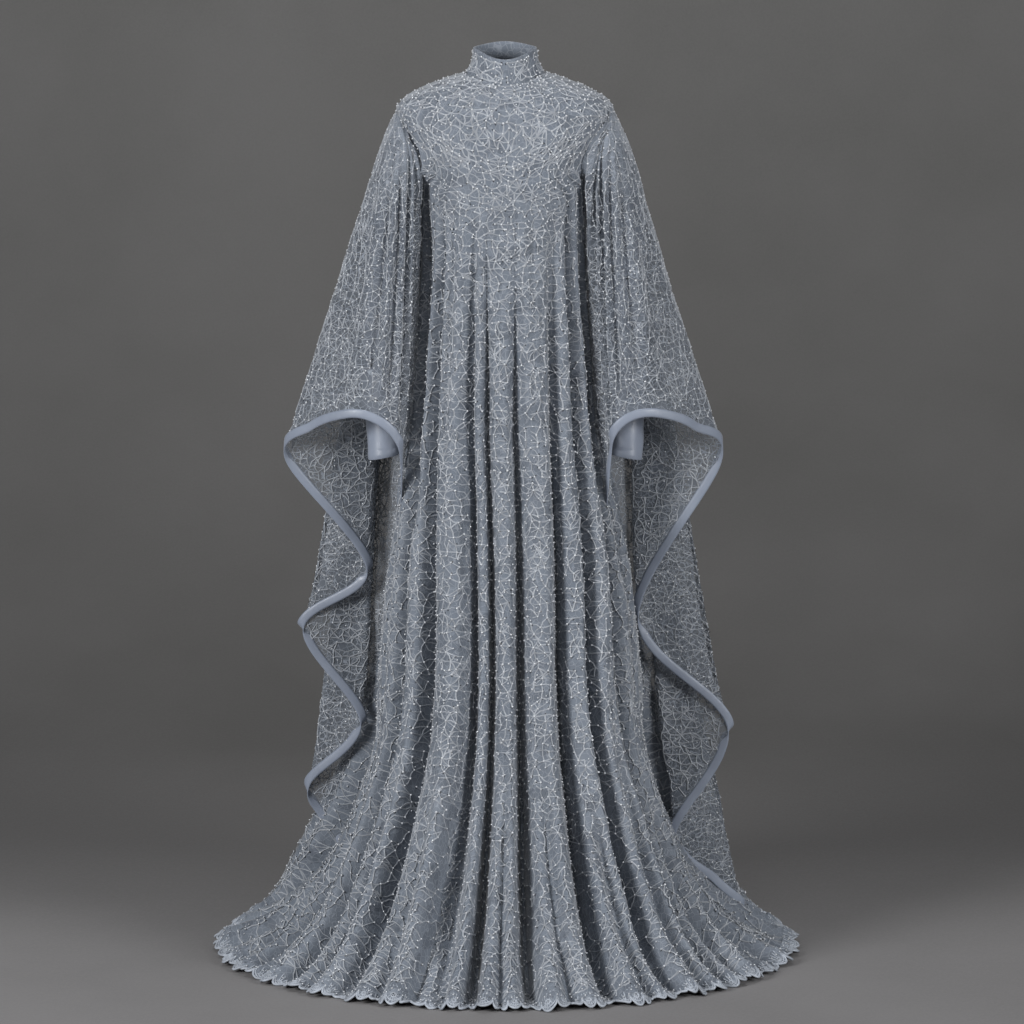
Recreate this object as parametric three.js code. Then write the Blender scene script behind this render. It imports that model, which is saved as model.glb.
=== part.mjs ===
// A floor-length butterfly kaftan, worn and hollow, in millimetres.
// +Z is up, the front faces -Y, and the origin is the middle of the shoulder line.
// Heights in the tables are measured from the floor that the hem lies on.

import * as THREE from 'three';

// Driving sizes
const SHOULDER_HEIGHT = 1520;
const WALL = 2;
const SEAM_GAP = 0.3;
const BINDING_WIDTH = 15;
const BINDING_GAP = 1;
const LACE_WALL = 1.6;
const LACE_WIDTH = 26;
const SCALLOP_PITCH = 32;
const COLLAR_WALL = 2.4;

// Mesh steps
const WING_ROWS = 13;
const ROW_SPACING = 1.4;
const FRONT_RAIL_STEPS = 2;
const BACK_RAIL_STEPS = 3;
const SLEEVE_SIDES = 12;

// Where the wings are sewn to the body: angles from the middle of each panel,
// the rows that their top edge follows, and how far they stand off
const FRONT_SEAM_ANGLE = 62;
const BACK_SEAM_ANGLE = 70;
const SEAM_TOP_ROW = 5;
const SHOULDER_ROW = 3.4;
const WING_STANDOFF = 4;
const SEAM_STANDOFF = 3.2;
const ARM_LEVEL = 1400;
const ELBOW_LEVEL = 1150;

function table(columns, rows) {
  return rows.map((row) => Object.fromEntries(columns.map((name, i) => [name, row[i]])));
}

// Body sections from the neck to the hem: heights at the front, side and back,
// distances from the axis at six angles, fold height, how far the cloth is gathered
// towards the sides, the pull of the armhole in degrees and the sway to the right
const SECTION_ANGLES = [0, 45, 85, 108, 128, 180];
const RADII = ['r0', 'r45', 'r85', 'r108', 'r128', 'r180'];
const SECTIONS = table(
  ['front', 'side', 'back', ...RADII, 'fold', 'gather', 'armhole', 'sway'],
  [
    [1527, 1545, 1552, 60, 62, 68, 66, 60, 52, 0, 1.7, 0, 0],
    [1508, 1532, 1541, 78, 90, 110, 104, 92, 72, 0, 1.7, 0, 0],
    [1482, 1515, 1523, 91, 115, 150, 142, 120, 88, 0, 1.7, 0, 0],
    [1450, 1497, 1498, 102, 133, 178, 166, 136, 98, 0, 1.7, 0, 0],
    [1415, 1476, 1466, 112, 144, 187, 172, 142, 104, 0, 1.7, 0, 0],
    [1380, 1438, 1428, 119, 146, 172, 160, 142, 109, 0.5, 1.7, 16, 0],
    [1346, 1394, 1386, 124, 143, 156, 148, 136, 112, 1, 1.7, 19, 0],
    [1305, 1346, 1340, 127, 140, 145, 140, 131, 112, 2, 1.7, 0, 0],
    [1240, 1262, 1258, 130, 138, 141, 136, 129, 111, 4, 1.7, 0, 0],
    [1150, 1156, 1154, 132, 139, 142, 138, 130, 112, 7, 1.7, 0, 0],
    [1040, 1040, 1040, 136, 144, 149, 145, 137, 118, 10, 1.7, 0, 0],
    [930, 930, 930, 141, 152, 160, 157, 151, 132, 13, 1.65, 0, 0],
    [810, 810, 810, 150, 169, 179, 177, 174, 155, 17, 1.5, 0, 4],
    [680, 680, 680, 170, 194, 201, 200, 205, 185, 22, 1.3, 0, 7],
    [545, 545, 545, 199, 221, 212, 215, 244, 225, 25, 1.1, 0, 8],
    [410, 410, 410, 234, 252, 218, 232, 292, 270, 27, 1, 0, 8],
    [300, 300, 300, 268, 284, 232, 252, 340, 314, 28, 1, 0, 7],
    [205, 205, 205, 304, 318, 256, 282, 388, 356, 28, 1, 0, 5],
    [130, 130, 130, 344, 354, 292, 318, 428, 396, 27, 1, 0, 4],
    [72, 72, 72, 386, 394, 346, 372, 455, 432, 23, 1, 0, 3],
    [32, 32, 32, 428, 434, 404, 420, 472, 462, 17, 1, 0, 3],
    [11, 11, 11, 460, 464, 450, 458, 484, 480, 11, 1, 0, 3],
    [2.6, 2.6, 2.6, 480, 482, 486, 485, 487, 488, 6, 1, 0, 3],
  ],
);

// Folds of each half: the valley where a ridge begins, how high the ridge stands,
// the height where it fades in, and the mesh steps over it
const FOLD_COLUMNS = ['valley', 'lift', 'start', 'steps'];
const FRONT_FOLDS = table(FOLD_COLUMNS, [
  [-90, 0.6, 800, 2],
  [-76, 0.7, 900, 2],
  [-62, 0.9, 1300, 2],
  [-49, 0.9, 1250, 2],
  [-36, 1.2, 1330, 4],
  [-15, 0.45, 1250, 2],
  [-8, 0.8, 1200, 3],
  [4.5, 1.1, 1260, 4],
  [22.5, 0.95, 1330, 3],
  [35, 0.9, 1280, 3],
  [49, 0.9, 1250, 2],
  [62, 0.7, 900, 2],
  [76, 0.6, 800, 2],
]);
const BACK_FOLDS = table(FOLD_COLUMNS, [
  [-90, 0.5, 700, 2],
  [-80, 0.5, 700, 2],
  [-70, 1.1, 1250, 3],
  [-54, 1, 1200, 2],
  [-40, 1.1, 1330, 3],
  [-24, 1, 1280, 3],
  [-9, 1, 1330, 3],
  [7, 0.9, 1250, 3],
  [21, 1.1, 1330, 3],
  [38, 0.9, 1250, 3],
  [52, 1.1, 1250, 3],
  [70, 0.5, 700, 2],
  [80, 0.5, 700, 2],
]);
const FOLD_FADE = 260;
const CREST_POWER = 2.2;

// Wing rails from the body out: places at arm and elbow level, and on the bound edge
const RAIL_COLUMNS = ['xArm', 'yArm', 'xElbow', 'yElbow', 'xEdge', 'yEdge', 'edge'];
const LEFT_WING = {
  name: 'left',
  side: -1,
  frontSeamEnd: 700,
  backSeamEnd: 132,
  front: table(RAIL_COLUMNS, [
    [163, -66, 164, -84, 180, -98, 868],
    [176, -71, 182, -101, 192, -118, 920],
    [191, -66, 210, -108, 228, -124, 951],
    [204, -52, 243, -96, 272, -112, 957],
    [214, -28, 277, -56, 335, -64, 930],
    [220, 0, 298, 0, 383, 0, 866],
  ]),
  back: table(RAIL_COLUMNS, [
    [216, 36, 224, 60, 243, 42, 664],
    [205, 54, 252, 76, 357, 64, 554],
    [192, 66, 206, 92, 256, 72, 384],
    [178, 72, 226, 110, 349, 112, 266],
    [164, 72, 186, 110, 328, 126, 200],
  ]),
};
const RIGHT_WING = {
  name: 'right',
  side: 1,
  frontSeamEnd: 700,
  backSeamEnd: 16,
  front: table(RAIL_COLUMNS, [
    [163, -66, 164, -84, 182, -98, 872],
    [176, -71, 180, -101, 190, -120, 926],
    [191, -66, 208, -108, 222, -122, 955],
    [204, -52, 241, -96, 268, -108, 957],
    [214, -28, 273, -56, 328, -64, 930],
    [220, 0, 293, 0, 377, 0, 862],
  ]),
  back: table(RAIL_COLUMNS, [
    [216, 36, 224, 60, 234, 46, 574],
    [205, 54, 258, 76, 395, 78, 374],
    [192, 66, 206, 92, 302, 84, 178],
    [178, 72, 232, 110, 372, 118, 88],
    [164, 72, 190, 110, 422, 140, 40],
  ]),
};

// Under-sleeve rings below the armhole: centre, lean from level, half sizes
const SLEEVE_RINGS = table(
  ['x', 'y', 'height', 'lean', 'across', 'deep'],
  [
    [179, 0, 1378, 50, 46, 45],
    [187, 0, 1352, 28, 39, 43],
    [194, 0, 1312, 10, 42, 43],
    [199, 2, 1250, 0, 42, 42],
    [205, 5, 1180, 0, 40, 40],
    [209, 6, 1110, 0, 38, 38],
    [211, 0, 1050, 0, 36, 36],
    [212, -12, 990, 0, 34, 34],
    [212, -27, 935, 2, 31, 31],
    [210, -38, 880, 6, 29, 29],
  ],
);

// Collar sections: height above the neck edge, and shares of its width and depth
const COLLAR_SECTIONS = table(
  ['rise', 'width', 'depth'],
  [
    [43, 0.81, 0.88],
    [22, 0.83, 0.9],
    [0.6, 0.985, 0.985],
  ],
);

// One lace scallop, as shares of its pitch and distances out from the hem
const NOTCH_DEPTH = 14;
const SCALLOP_ARC = [
  [0.88, 0.8],
  [0.5, 1],
  [0.12, 0.8],
];
const EYELET = { middle: 0.5, out: 15, halfPitch: 0.16, halfOut: 5 };

// Interpolation through uneven stations, with level ends where asked
function smooth(stations, values, at, levelEnds = false) {
  const last = stations.length - 1;
  const slope = (i) => {
    const a = Math.max(i - 1, 0);
    const b = Math.min(i + 1, last);
    if (levelEnds && (i === 0 || i === last)) {
      return 0;
    }
    return (values[b] - values[a]) / (stations[b] - stations[a]);
  };
  let i = 0;
  while (i < last - 1 && at > stations[i + 1]) {
    i += 1;
  }
  const span = stations[i + 1] - stations[i];
  const t = THREE.MathUtils.clamp((at - stations[i]) / span, 0, 1);
  const t2 = t * t;
  const t3 = t2 * t;
  return (2 * t3 - 3 * t2 + 1) * values[i]
    + (t3 - 2 * t2 + t) * span * slope(i)
    + (3 * t2 - 2 * t3) * values[i + 1]
    + (t3 - t2) * span * slope(i + 1);
}

const radians = THREE.MathUtils.degToRad;
const levelOf = (height) => height - SHOULDER_HEIGHT;
const heightOf = (point) => point.z + SHOULDER_HEIGHT;

// Height of the ridges at a panel angle, as a share of the section's fold height
function ridge(folds, angle, height) {
  let i = folds.length - 1;
  while (i > 0 && angle < folds[i].valley) {
    i -= 1;
  }
  const from = folds[i].valley;
  const to = i + 1 < folds.length ? folds[i + 1].valley : 90;
  const t = (angle - from) / (to - from);
  const fade = THREE.MathUtils.smoothstep(folds[i].start - height, 0, FOLD_FADE);
  return folds[i].lift * fade * (1 - Math.abs(2 * t - 1) ** CREST_POWER);
}

// Direction round the axis from a panel's own angle, which is 0 in the middle of the
// panel: gathered towards the sides, and pulled back at the armhole
function direction(section, angle, isFront) {
  const share = 1 - (1 - Math.abs(angle) / 90) ** section.gather;
  const spread = Math.sign(angle) * share * (90 - section.armhole);
  return isFront ? spread : 180 - spread;
}

function basePoint(section, angle, isFront) {
  const turned = direction(section, angle, isFront);
  const round = turned > 180 ? 360 - turned : Math.abs(turned);
  const radius = smooth(SECTION_ANGLES, RADII.map((key) => section[key]), round, true);
  const middle = isFront ? section.front : section.back;
  const sideShare = Math.sin(radians(turned)) ** 2;
  return new THREE.Vector3(
    radius * Math.sin(radians(turned)) + section.sway,
    -radius * Math.cos(radians(turned)),
    levelOf(middle + (section.side - middle) * sideShare),
  );
}

function foldAngles(folds) {
  const angles = [];
  folds.forEach((fold, i) => {
    const to = i + 1 < folds.length ? folds[i + 1].valley : 90;
    for (let step = 0; step < fold.steps; step += 1) {
      angles.push(fold.valley + ((to - fold.valley) * step) / fold.steps);
    }
  });
  return [...angles, 90];
}

// Unit normals of a grid of points, on the side that the sign asks for
function gridNormals(grid, sign, closed = false) {
  const rows = grid.length;
  const columns = grid[0].length;
  return grid.map((row, r) => row.map((point, c) => {
    const left = closed ? (c - 1 + columns) % columns : Math.max(c - 1, 0);
    const right = closed ? (c + 1) % columns : Math.min(c + 1, columns - 1);
    const across = new THREE.Vector3().subVectors(row[right], row[left]);
    const down = new THREE.Vector3().subVectors(
      grid[Math.min(r + 1, rows - 1)][c],
      grid[Math.max(r - 1, 0)][c],
    );
    return across.cross(down).normalize().multiplyScalar(sign);
  }));
}

function shareNormals(normals, r, a, b) {
  const mean = normals[r][a].clone().add(normals[r][b]).normalize();
  normals[r][a].copy(mean);
  normals[r][b].copy(mean);
}

function moved(grid, normals, distance) {
  return grid.map((row, r) => row.map((point, c) => (
    point.clone().addScaledVector(normals[r][c], distance)
  )));
}

function geometryOf(points, triangles) {
  let volume = 0;
  triangles.forEach(([a, b, c]) => {
    volume += points[a].dot(new THREE.Vector3().crossVectors(points[b], points[c]));
  });
  const geometry = new THREE.BufferGeometry();
  geometry.setAttribute(
    'position',
    new THREE.Float32BufferAttribute(points.flatMap((p) => p.toArray()), 3),
  );
  geometry.setIndex(triangles.flatMap(([a, b, c]) => (volume > 0 ? [a, b, c] : [a, c, b])));
  geometry.computeVertexNormals();
  return geometry;
}

// A closed wall between an outer and an inner grid of the same size
function wallGeometry(outer, inner, closed = false) {
  const rows = outer.length;
  const columns = outer[0].length;
  const points = [...outer.flat(), ...inner.flat()];
  const triangles = [];
  const at = (layer, r, c) => layer * rows * columns + r * columns + (c % columns);
  const quad = (a, b, c, d) => {
    triangles.push([a, b, c]);
    triangles.push([a, c, d]);
  };
  const spans = closed ? columns : columns - 1;
  for (let c = 0; c < spans; c += 1) {
    for (let r = 0; r < rows - 1; r += 1) {
      quad(at(0, r, c), at(0, r, c + 1), at(0, r + 1, c + 1), at(0, r + 1, c));
      quad(at(1, r, c), at(1, r + 1, c), at(1, r + 1, c + 1), at(1, r, c + 1));
    }
    quad(at(0, 0, c), at(1, 0, c), at(1, 0, c + 1), at(0, 0, c + 1));
    quad(at(0, rows - 1, c), at(0, rows - 1, c + 1), at(1, rows - 1, c + 1), at(1, rows - 1, c));
  }
  for (let r = 0; r < rows - 1 && !closed; r += 1) {
    const end = columns - 1;
    quad(at(0, r, 0), at(0, r + 1, 0), at(1, r + 1, 0), at(1, r, 0));
    quad(at(0, r, end), at(1, r, end), at(1, r + 1, end), at(0, r + 1, end));
  }
  return geometryOf(points, triangles);
}

// The body ring: front columns from left to right, then back columns from right to left
const frontAngles = foldAngles(FRONT_FOLDS);
const backAngles = foldAngles(BACK_FOLDS).reverse();
const frontCount = frontAngles.length;
const ringCount = frontCount + backAngles.length;

const panelAngles = [...frontAngles, ...backAngles];
const isFrontColumn = (column) => column < frontCount;
const columnNumbers = panelAngles.map((_, c) => c);
const baseGrid = SECTIONS.map((section) => columnNumbers.map((c) => (
  basePoint(section, panelAngles[c], isFrontColumn(c))
)));
const seamPairs = [[frontCount - 1, frontCount], [ringCount - 1, 0]];

function bodyNormals(grid) {
  const normals = gridNormals(grid, -1, true);
  SECTIONS.forEach((section, r) => {
    if (section.armhole === 0) {
      seamPairs.forEach(([a, b]) => shareNormals(normals, r, a, b));
    }
  });
  return normals;
}

const baseNormals = bodyNormals(baseGrid);
const bodyOuter = baseGrid.map((row, r) => row.map((point, c) => {
  const isFront = isFrontColumn(c);
  const folds = isFront ? FRONT_FOLDS : BACK_FOLDS;
  const lift = SECTIONS[r].fold * ridge(folds, panelAngles[c], heightOf(point));
  const raised = point.clone().addScaledVector(baseNormals[r][c], lift);
  if (seamPairs.flat().includes(c)) {
    raised.y += (isFront ? -1 : 1) * SEAM_GAP / 2;
  }
  return raised;
}));
const outerNormals = bodyNormals(bodyOuter);
const bodyInner = moved(bodyOuter, outerNormals, -WALL);

function panelGeometry(from, to) {
  const cut = (grid) => grid.map((row) => row.slice(from, to));
  return wallGeometry(cut(bodyOuter), cut(bodyInner));
}

// A point just outside the body, at a column and a row that may lie between two rows
function onBody(column, row, standoff) {
  const r = Math.min(Math.floor(row), SECTIONS.length - 2);
  const c = Math.min(Math.floor(column), ringCount - 2);
  const mixed = (grid) => {
    const upper = new THREE.Vector3().lerpVectors(grid[r][c], grid[r][c + 1], column - c);
    const lower = new THREE.Vector3().lerpVectors(grid[r + 1][c], grid[r + 1][c + 1], column - c);
    return upper.lerp(lower, row - r);
  };
  return mixed(bodyOuter).addScaledVector(mixed(outerNormals).normalize(), standoff);
}

function columnAt(angle, isFront) {
  return panelAngles.findIndex((known, c) => known === angle && isFrontColumn(c) === isFront);
}

// The row at which a body column passes a height
function rowAt(column, height) {
  let r = SEAM_TOP_ROW - 2;
  while (r < SECTIONS.length - 2 && heightOf(bodyOuter[r + 1][column]) > height) {
    r += 1;
  }
  const upper = heightOf(bodyOuter[r][column]);
  const lower = heightOf(bodyOuter[r + 1][column]);
  return r + THREE.MathUtils.clamp((upper - height) / (upper - lower), 0, 1);
}

// One wing as a grid: columns from the front seam over the arm to the back seam,
// rows from the shoulder to the bound edge, with the binding as its last two rows
function wingGrid(wing) {
  const frontColumn = columnAt(wing.side * FRONT_SEAM_ANGLE, true);
  const backColumn = columnAt(wing.side * BACK_SEAM_ANGLE, false);
  const frontEdge = wing.side > 0 ? frontCount - 1 : 0;
  const backEdge = wing.side > 0 ? frontCount : ringCount - 1;
  const rails = [...wing.front, ...wing.back];
  const armRail = wing.front.length;
  const lastRail = rails.length + 1;

  const top = (u) => {
    const isFront = u <= armRail;
    const share = isFront ? u / armRail : (lastRail - u) / (lastRail - armRail);
    const seam = isFront ? frontColumn : backColumn;
    const edge = isFront ? frontEdge : backEdge;
    const eased = share ** 0.8;
    const column = THREE.MathUtils.lerp(seam, edge, eased);
    const row = THREE.MathUtils.lerp(SEAM_TOP_ROW, SHOULDER_ROW, eased);
    const point = onBody(column, row, THREE.MathUtils.lerp(SEAM_STANDOFF, WING_STANDOFF, eased));
    point.x *= wing.side;
    return point;
  };
  const seamPoint = (column, height, standoff) => {
    const point = onBody(column, rowAt(column, height), standoff);
    point.x *= wing.side;
    return point;
  };
  const seamRail = (column, end) => {
    const arm = seamPoint(column, ARM_LEVEL, SEAM_STANDOFF);
    const elbow = seamPoint(column, ELBOW_LEVEL, SEAM_STANDOFF);
    const edge = seamPoint(column, end, SEAM_STANDOFF);
    return {
      xArm: arm.x, yArm: arm.y, xElbow: elbow.x, yElbow: elbow.y, xEdge: edge.x, yEdge: edge.y, edge: end,
    };
  };
  const stationed = [
    seamRail(frontColumn, wing.frontSeamEnd),
    ...rails,
    seamRail(backColumn, wing.backSeamEnd),
  ];
  const stations = stationed.map((_, i) => i);
  const railValue = (key, u) => smooth(stations, stationed.map((rail) => rail[key]), u);

  const place = (u, height) => {
    if (u === 0 || u === lastRail) {
      return seamPoint(u === 0 ? frontColumn : backColumn, height, SEAM_STANDOFF);
    }
    const start = top(u);
    const heights = [railValue('edge', u), ELBOW_LEVEL, ARM_LEVEL, heightOf(start)];
    const x = [railValue('xEdge', u), railValue('xElbow', u), railValue('xArm', u), start.x];
    const y = [railValue('yEdge', u), railValue('yElbow', u), railValue('yArm', u), start.y];
    return new THREE.Vector3(smooth(heights, x, height), smooth(heights, y, height), levelOf(height));
  };
  const edgePoint = (u) => place(u, railValue('edge', u));

  // The binding is as wide across the slanting edge as it is along a level one
  const bindingRise = (u) => {
    const step = 0.08;
    const before = edgePoint(THREE.MathUtils.clamp(u - step, 0, lastRail));
    const after = edgePoint(THREE.MathUtils.clamp(u + step, 0, lastRail));
    const run = Math.hypot(after.x - before.x, after.y - before.y);
    const slant = Math.min(Math.abs(after.z - before.z) / Math.max(run, 1), 1.6);
    return BINDING_WIDTH * Math.hypot(1, slant);
  };

  const us = [];
  for (let rail = 0; rail < lastRail; rail += 1) {
    const steps = rail < armRail ? FRONT_RAIL_STEPS : BACK_RAIL_STEPS;
    for (let step = 0; step < steps; step += 1) {
      us.push(rail + step / steps);
    }
  }
  us.push(lastRail);
  const seamAt = us.indexOf(armRail);
  us.splice(seamAt, 0, armRail);

  const columns = us.map((u) => {
    const upper = heightOf(u === 0 || u === lastRail
      ? onBody(u === 0 ? frontColumn : backColumn, SEAM_TOP_ROW, 0)
      : top(u));
    const lower = railValue('edge', u);
    const seam = lower + bindingRise(u);
    const heights = [];
    for (let row = 0; row <= WING_ROWS; row += 1) {
      const share = (row / WING_ROWS) ** ROW_SPACING;
      heights.push(THREE.MathUtils.lerp(upper, seam + BINDING_GAP, share));
    }
    heights.push(seam, lower);
    return heights.map((height) => place(u, height));
  });
  columns[seamAt].forEach((point) => point.setY(point.y - SEAM_GAP / 2));
  columns[seamAt + 1].forEach((point) => point.setY(point.y + SEAM_GAP / 2));
  const grid = columns[0].map((_, r) => columns.map((column) => {
    const point = column[r].clone();
    point.x *= wing.side;
    return point;
  }));
  const normals = gridNormals(grid, -wing.side);
  grid.forEach((_, r) => shareNormals(normals, r, seamAt, seamAt + 1));
  grid[0].forEach((_, c) => {
    const mean = normals[WING_ROWS][c].clone().add(normals[WING_ROWS + 1][c]).normalize();
    normals[WING_ROWS][c].copy(mean);
    normals[WING_ROWS + 1][c].copy(mean);
  });
  return { grid, normals, seamAt };
}

function block(grid, rowFrom, rowTo, columnFrom, columnTo) {
  return grid.slice(rowFrom, rowTo).map((row) => row.slice(columnFrom, columnTo));
}

function wingPieces(wing) {
  const { grid, normals, seamAt } = wingGrid(wing);
  const inner = moved(grid, normals, -WALL);
  const last = grid[0].length;
  const sheet = (from, to) => wallGeometry(
    block(grid, 0, WING_ROWS + 1, from, to),
    block(inner, 0, WING_ROWS + 1, from, to),
  );
  const bound = (source) => block(source, WING_ROWS + 1, WING_ROWS + 3, 0, last);
  return {
    front: sheet(0, seamAt + 1),
    back: sheet(seamAt + 1, last),
    binding: wallGeometry(bound(grid), bound(inner)),
  };
}

// An under-sleeve: its first ring is the armhole's edge, the others come from the table
function sleeveGeometry(side) {
  const frontEdge = side > 0 ? frontCount - 1 : 0;
  const backEdge = side > 0 ? frontCount : ringCount - 1;
  const firstRow = SECTIONS.findIndex((section) => section.armhole > 0) - 1;
  const lastRow = SECTIONS.findLastIndex((section) => section.armhole > 0) + 1;
  const half = SLEEVE_SIDES / 2;
  const edgePath = (column) => {
    const path = new THREE.CurvePath();
    for (let r = firstRow; r < lastRow; r += 1) {
      path.add(new THREE.LineCurve3(bodyOuter[r][column], bodyOuter[r + 1][column]));
    }
    return path;
  };
  const frontPath = edgePath(frontEdge);
  const backPath = edgePath(backEdge);
  const armhole = [];
  for (let i = 0; i < SLEEVE_SIDES; i += 1) {
    const share = i <= half ? i / half : (SLEEVE_SIDES - i) / half;
    const point = (i <= half ? frontPath : backPath).getPointAt(share).clone();
    point.x += side * 2 * SEAM_GAP;
    if (i === 0 || i === half) {
      point.y = 0;
    }
    armhole.push(point);
  }
  const rings = SLEEVE_RINGS.map((ring) => {
    const lean = radians(ring.lean);
    return armhole.map((_, i) => {
      const turn = (2 * Math.PI * i) / SLEEVE_SIDES;
      const out = ring.across * Math.cos(turn);
      return new THREE.Vector3(
        side * (ring.x + out * Math.cos(lean)),
        ring.y - ring.deep * Math.sin(turn),
        levelOf(ring.height + out * Math.sin(lean)),
      );
    });
  });
  const grid = [armhole, ...rings];
  const normals = gridNormals(grid, side, true);
  const middle = armhole.reduce((sum, p) => sum.add(p), new THREE.Vector3()).divideScalar(SLEEVE_SIDES);
  normals[0].forEach((normal, i) => {
    normal.subVectors(armhole[i], middle).setX(0).normalize();
  });
  return wallGeometry(grid, moved(grid, normals, -WALL), true);
}

// The collar stands on the neck edge, and follows its height round the neck
function collarGeometry() {
  const grid = COLLAR_SECTIONS.map((section) => bodyOuter[0].map((edge) => (
    new THREE.Vector3(edge.x * section.width, edge.y * section.depth, edge.z + section.rise)
  )));
  const normals = gridNormals(grid, -1, true);
  normals.at(-1).forEach((normal) => normal.setZ(0).normalize());
  return wallGeometry(grid, moved(grid, normals, -COLLAR_WALL), true);
}

// The lace edge: whole scallops over each step of the hem, each with an eyelet
function laceGeometry(from, to) {
  const hem = bodyOuter.at(-1).slice(from, to);
  const stations = [];
  hem.slice(0, -1).forEach((start, i) => {
    const end = hem[i + 1];
    const count = Math.max(1, Math.round(start.distanceTo(end) / SCALLOP_PITCH));
    for (let k = 0; k < count; k += 1) {
      stations.push(i + k / count);
    }
  });
  stations.push(hem.length - 1);
  const place = (at, out, down) => {
    const i = Math.min(Math.floor(at), hem.length - 2);
    const point = new THREE.Vector3().lerpVectors(hem[i], hem[i + 1], at - i);
    const outward = new THREE.Vector3(point.x, point.y, 0).normalize();
    point.addScaledVector(outward, SEAM_GAP + out);
    point.z -= down;
    return point;
  };
  const template = [
    [0, 0],
    [1, 0],
    [1, NOTCH_DEPTH],
    ...SCALLOP_ARC.map(([share, reach]) => [share, reach * LACE_WIDTH]),
    [0, NOTCH_DEPTH],
  ];
  const eyelet = [
    [EYELET.middle - EYELET.halfPitch, EYELET.out],
    [EYELET.middle, EYELET.out + EYELET.halfOut],
    [EYELET.middle + EYELET.halfPitch, EYELET.out],
    [EYELET.middle, EYELET.out - EYELET.halfOut],
  ];
  const flat = ([share, out]) => new THREE.Vector2(share * SCALLOP_PITCH, out);
  const faces = THREE.ShapeUtils.triangulateShape(template.map(flat), [eyelet.map(flat)]);
  const corners = [...template, ...eyelet];
  const points = [];
  const known = new Map();
  const vertex = (scallop, corner, layer) => {
    const [share, out] = corners[corner];
    const key = `${(scallop + share).toFixed(4)} ${out.toFixed(3)} ${layer}`;
    if (!known.has(key)) {
      const at = THREE.MathUtils.lerp(stations[scallop], stations[scallop + 1], share);
      known.set(key, points.length);
      points.push(place(at, out, layer * LACE_WALL));
    }
    return known.get(key);
  };
  const triangles = [];
  const side = (scallop, a, b) => {
    triangles.push([vertex(scallop, a, 0), vertex(scallop, a, 1), vertex(scallop, b, 1)]);
    triangles.push([vertex(scallop, a, 0), vertex(scallop, b, 1), vertex(scallop, b, 0)]);
  };
  const rim = template.length;
  const scallops = stations.length - 1;
  for (let scallop = 0; scallop < scallops; scallop += 1) {
    faces.forEach(([a, b, c]) => {
      triangles.push([vertex(scallop, a, 0), vertex(scallop, b, 0), vertex(scallop, c, 0)]);
      triangles.push([vertex(scallop, a, 1), vertex(scallop, c, 1), vertex(scallop, b, 1)]);
    });
    template.forEach((_, i) => {
      const isRight = i === 1;
      const isLeft = i === rim - 1;
      const isJoined = (isRight && scallop < scallops - 1) || (isLeft && scallop > 0);
      if (!isJoined) {
        side(scallop, i, (i + 1) % rim);
      }
    });
    eyelet.forEach((_, i) => {
      side(scallop, rim + i, rim + ((i + 1) % eyelet.length));
    });
  }
  return geometryOf(points, triangles);
}

// Materials and the assembled garment
const COLOURS = { cloth: '#8d97a8', tulle: '#a9b0bc', satin: '#8796b0', lace: '#99a2b1' };

const kaftan = new THREE.Group();
kaftan.name = 'kaftan';

function addPiece(name, geometry, colour, roughness) {
  const material = new THREE.MeshStandardMaterial({ color: colour, roughness, metalness: 0 });
  const mesh = new THREE.Mesh(geometry, material);
  mesh.name = name;
  kaftan.add(mesh);
}

addPiece('front', panelGeometry(0, frontCount), COLOURS.cloth, 0.7);
addPiece('back', panelGeometry(frontCount, ringCount), COLOURS.cloth, 0.7);
addPiece('collar', collarGeometry(), COLOURS.cloth, 0.7);
[LEFT_WING, RIGHT_WING].forEach((wing) => {
  const pieces = wingPieces(wing);
  addPiece(`wing_front_${wing.name}`, pieces.front, COLOURS.tulle, 0.6);
  addPiece(`wing_back_${wing.name}`, pieces.back, COLOURS.tulle, 0.6);
  addPiece(`binding_${wing.name}`, pieces.binding, COLOURS.satin, 0.4);
  addPiece(`under_sleeve_${wing.name}`, sleeveGeometry(wing.side), COLOURS.satin, 0.4);
});
addPiece('hem_lace_front', laceGeometry(0, frontCount), COLOURS.lace, 0.7);
addPiece('hem_lace_back', laceGeometry(frontCount, ringCount), COLOURS.lace, 0.7);

export default kaftan;
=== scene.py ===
import math

import bpy
import numpy as np
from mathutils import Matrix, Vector


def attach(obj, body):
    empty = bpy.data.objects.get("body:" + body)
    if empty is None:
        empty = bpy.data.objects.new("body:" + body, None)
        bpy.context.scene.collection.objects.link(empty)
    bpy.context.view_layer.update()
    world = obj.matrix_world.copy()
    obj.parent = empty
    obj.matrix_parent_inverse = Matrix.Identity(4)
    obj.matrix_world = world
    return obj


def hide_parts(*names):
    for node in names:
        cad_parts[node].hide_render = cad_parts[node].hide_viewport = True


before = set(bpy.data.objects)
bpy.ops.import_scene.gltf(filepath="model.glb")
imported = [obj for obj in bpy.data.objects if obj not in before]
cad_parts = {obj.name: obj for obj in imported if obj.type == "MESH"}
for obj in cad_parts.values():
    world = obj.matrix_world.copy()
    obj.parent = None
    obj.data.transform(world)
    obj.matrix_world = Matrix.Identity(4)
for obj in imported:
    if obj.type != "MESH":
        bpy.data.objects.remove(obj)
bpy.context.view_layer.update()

# Sizes are in mm unless a comment says otherwise. The shoulder line is at z = 0
MM = 0.001
SHOULDER = 1520.0
FLOOR_Z = -SHOULDER * MM
SEED = 20

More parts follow.
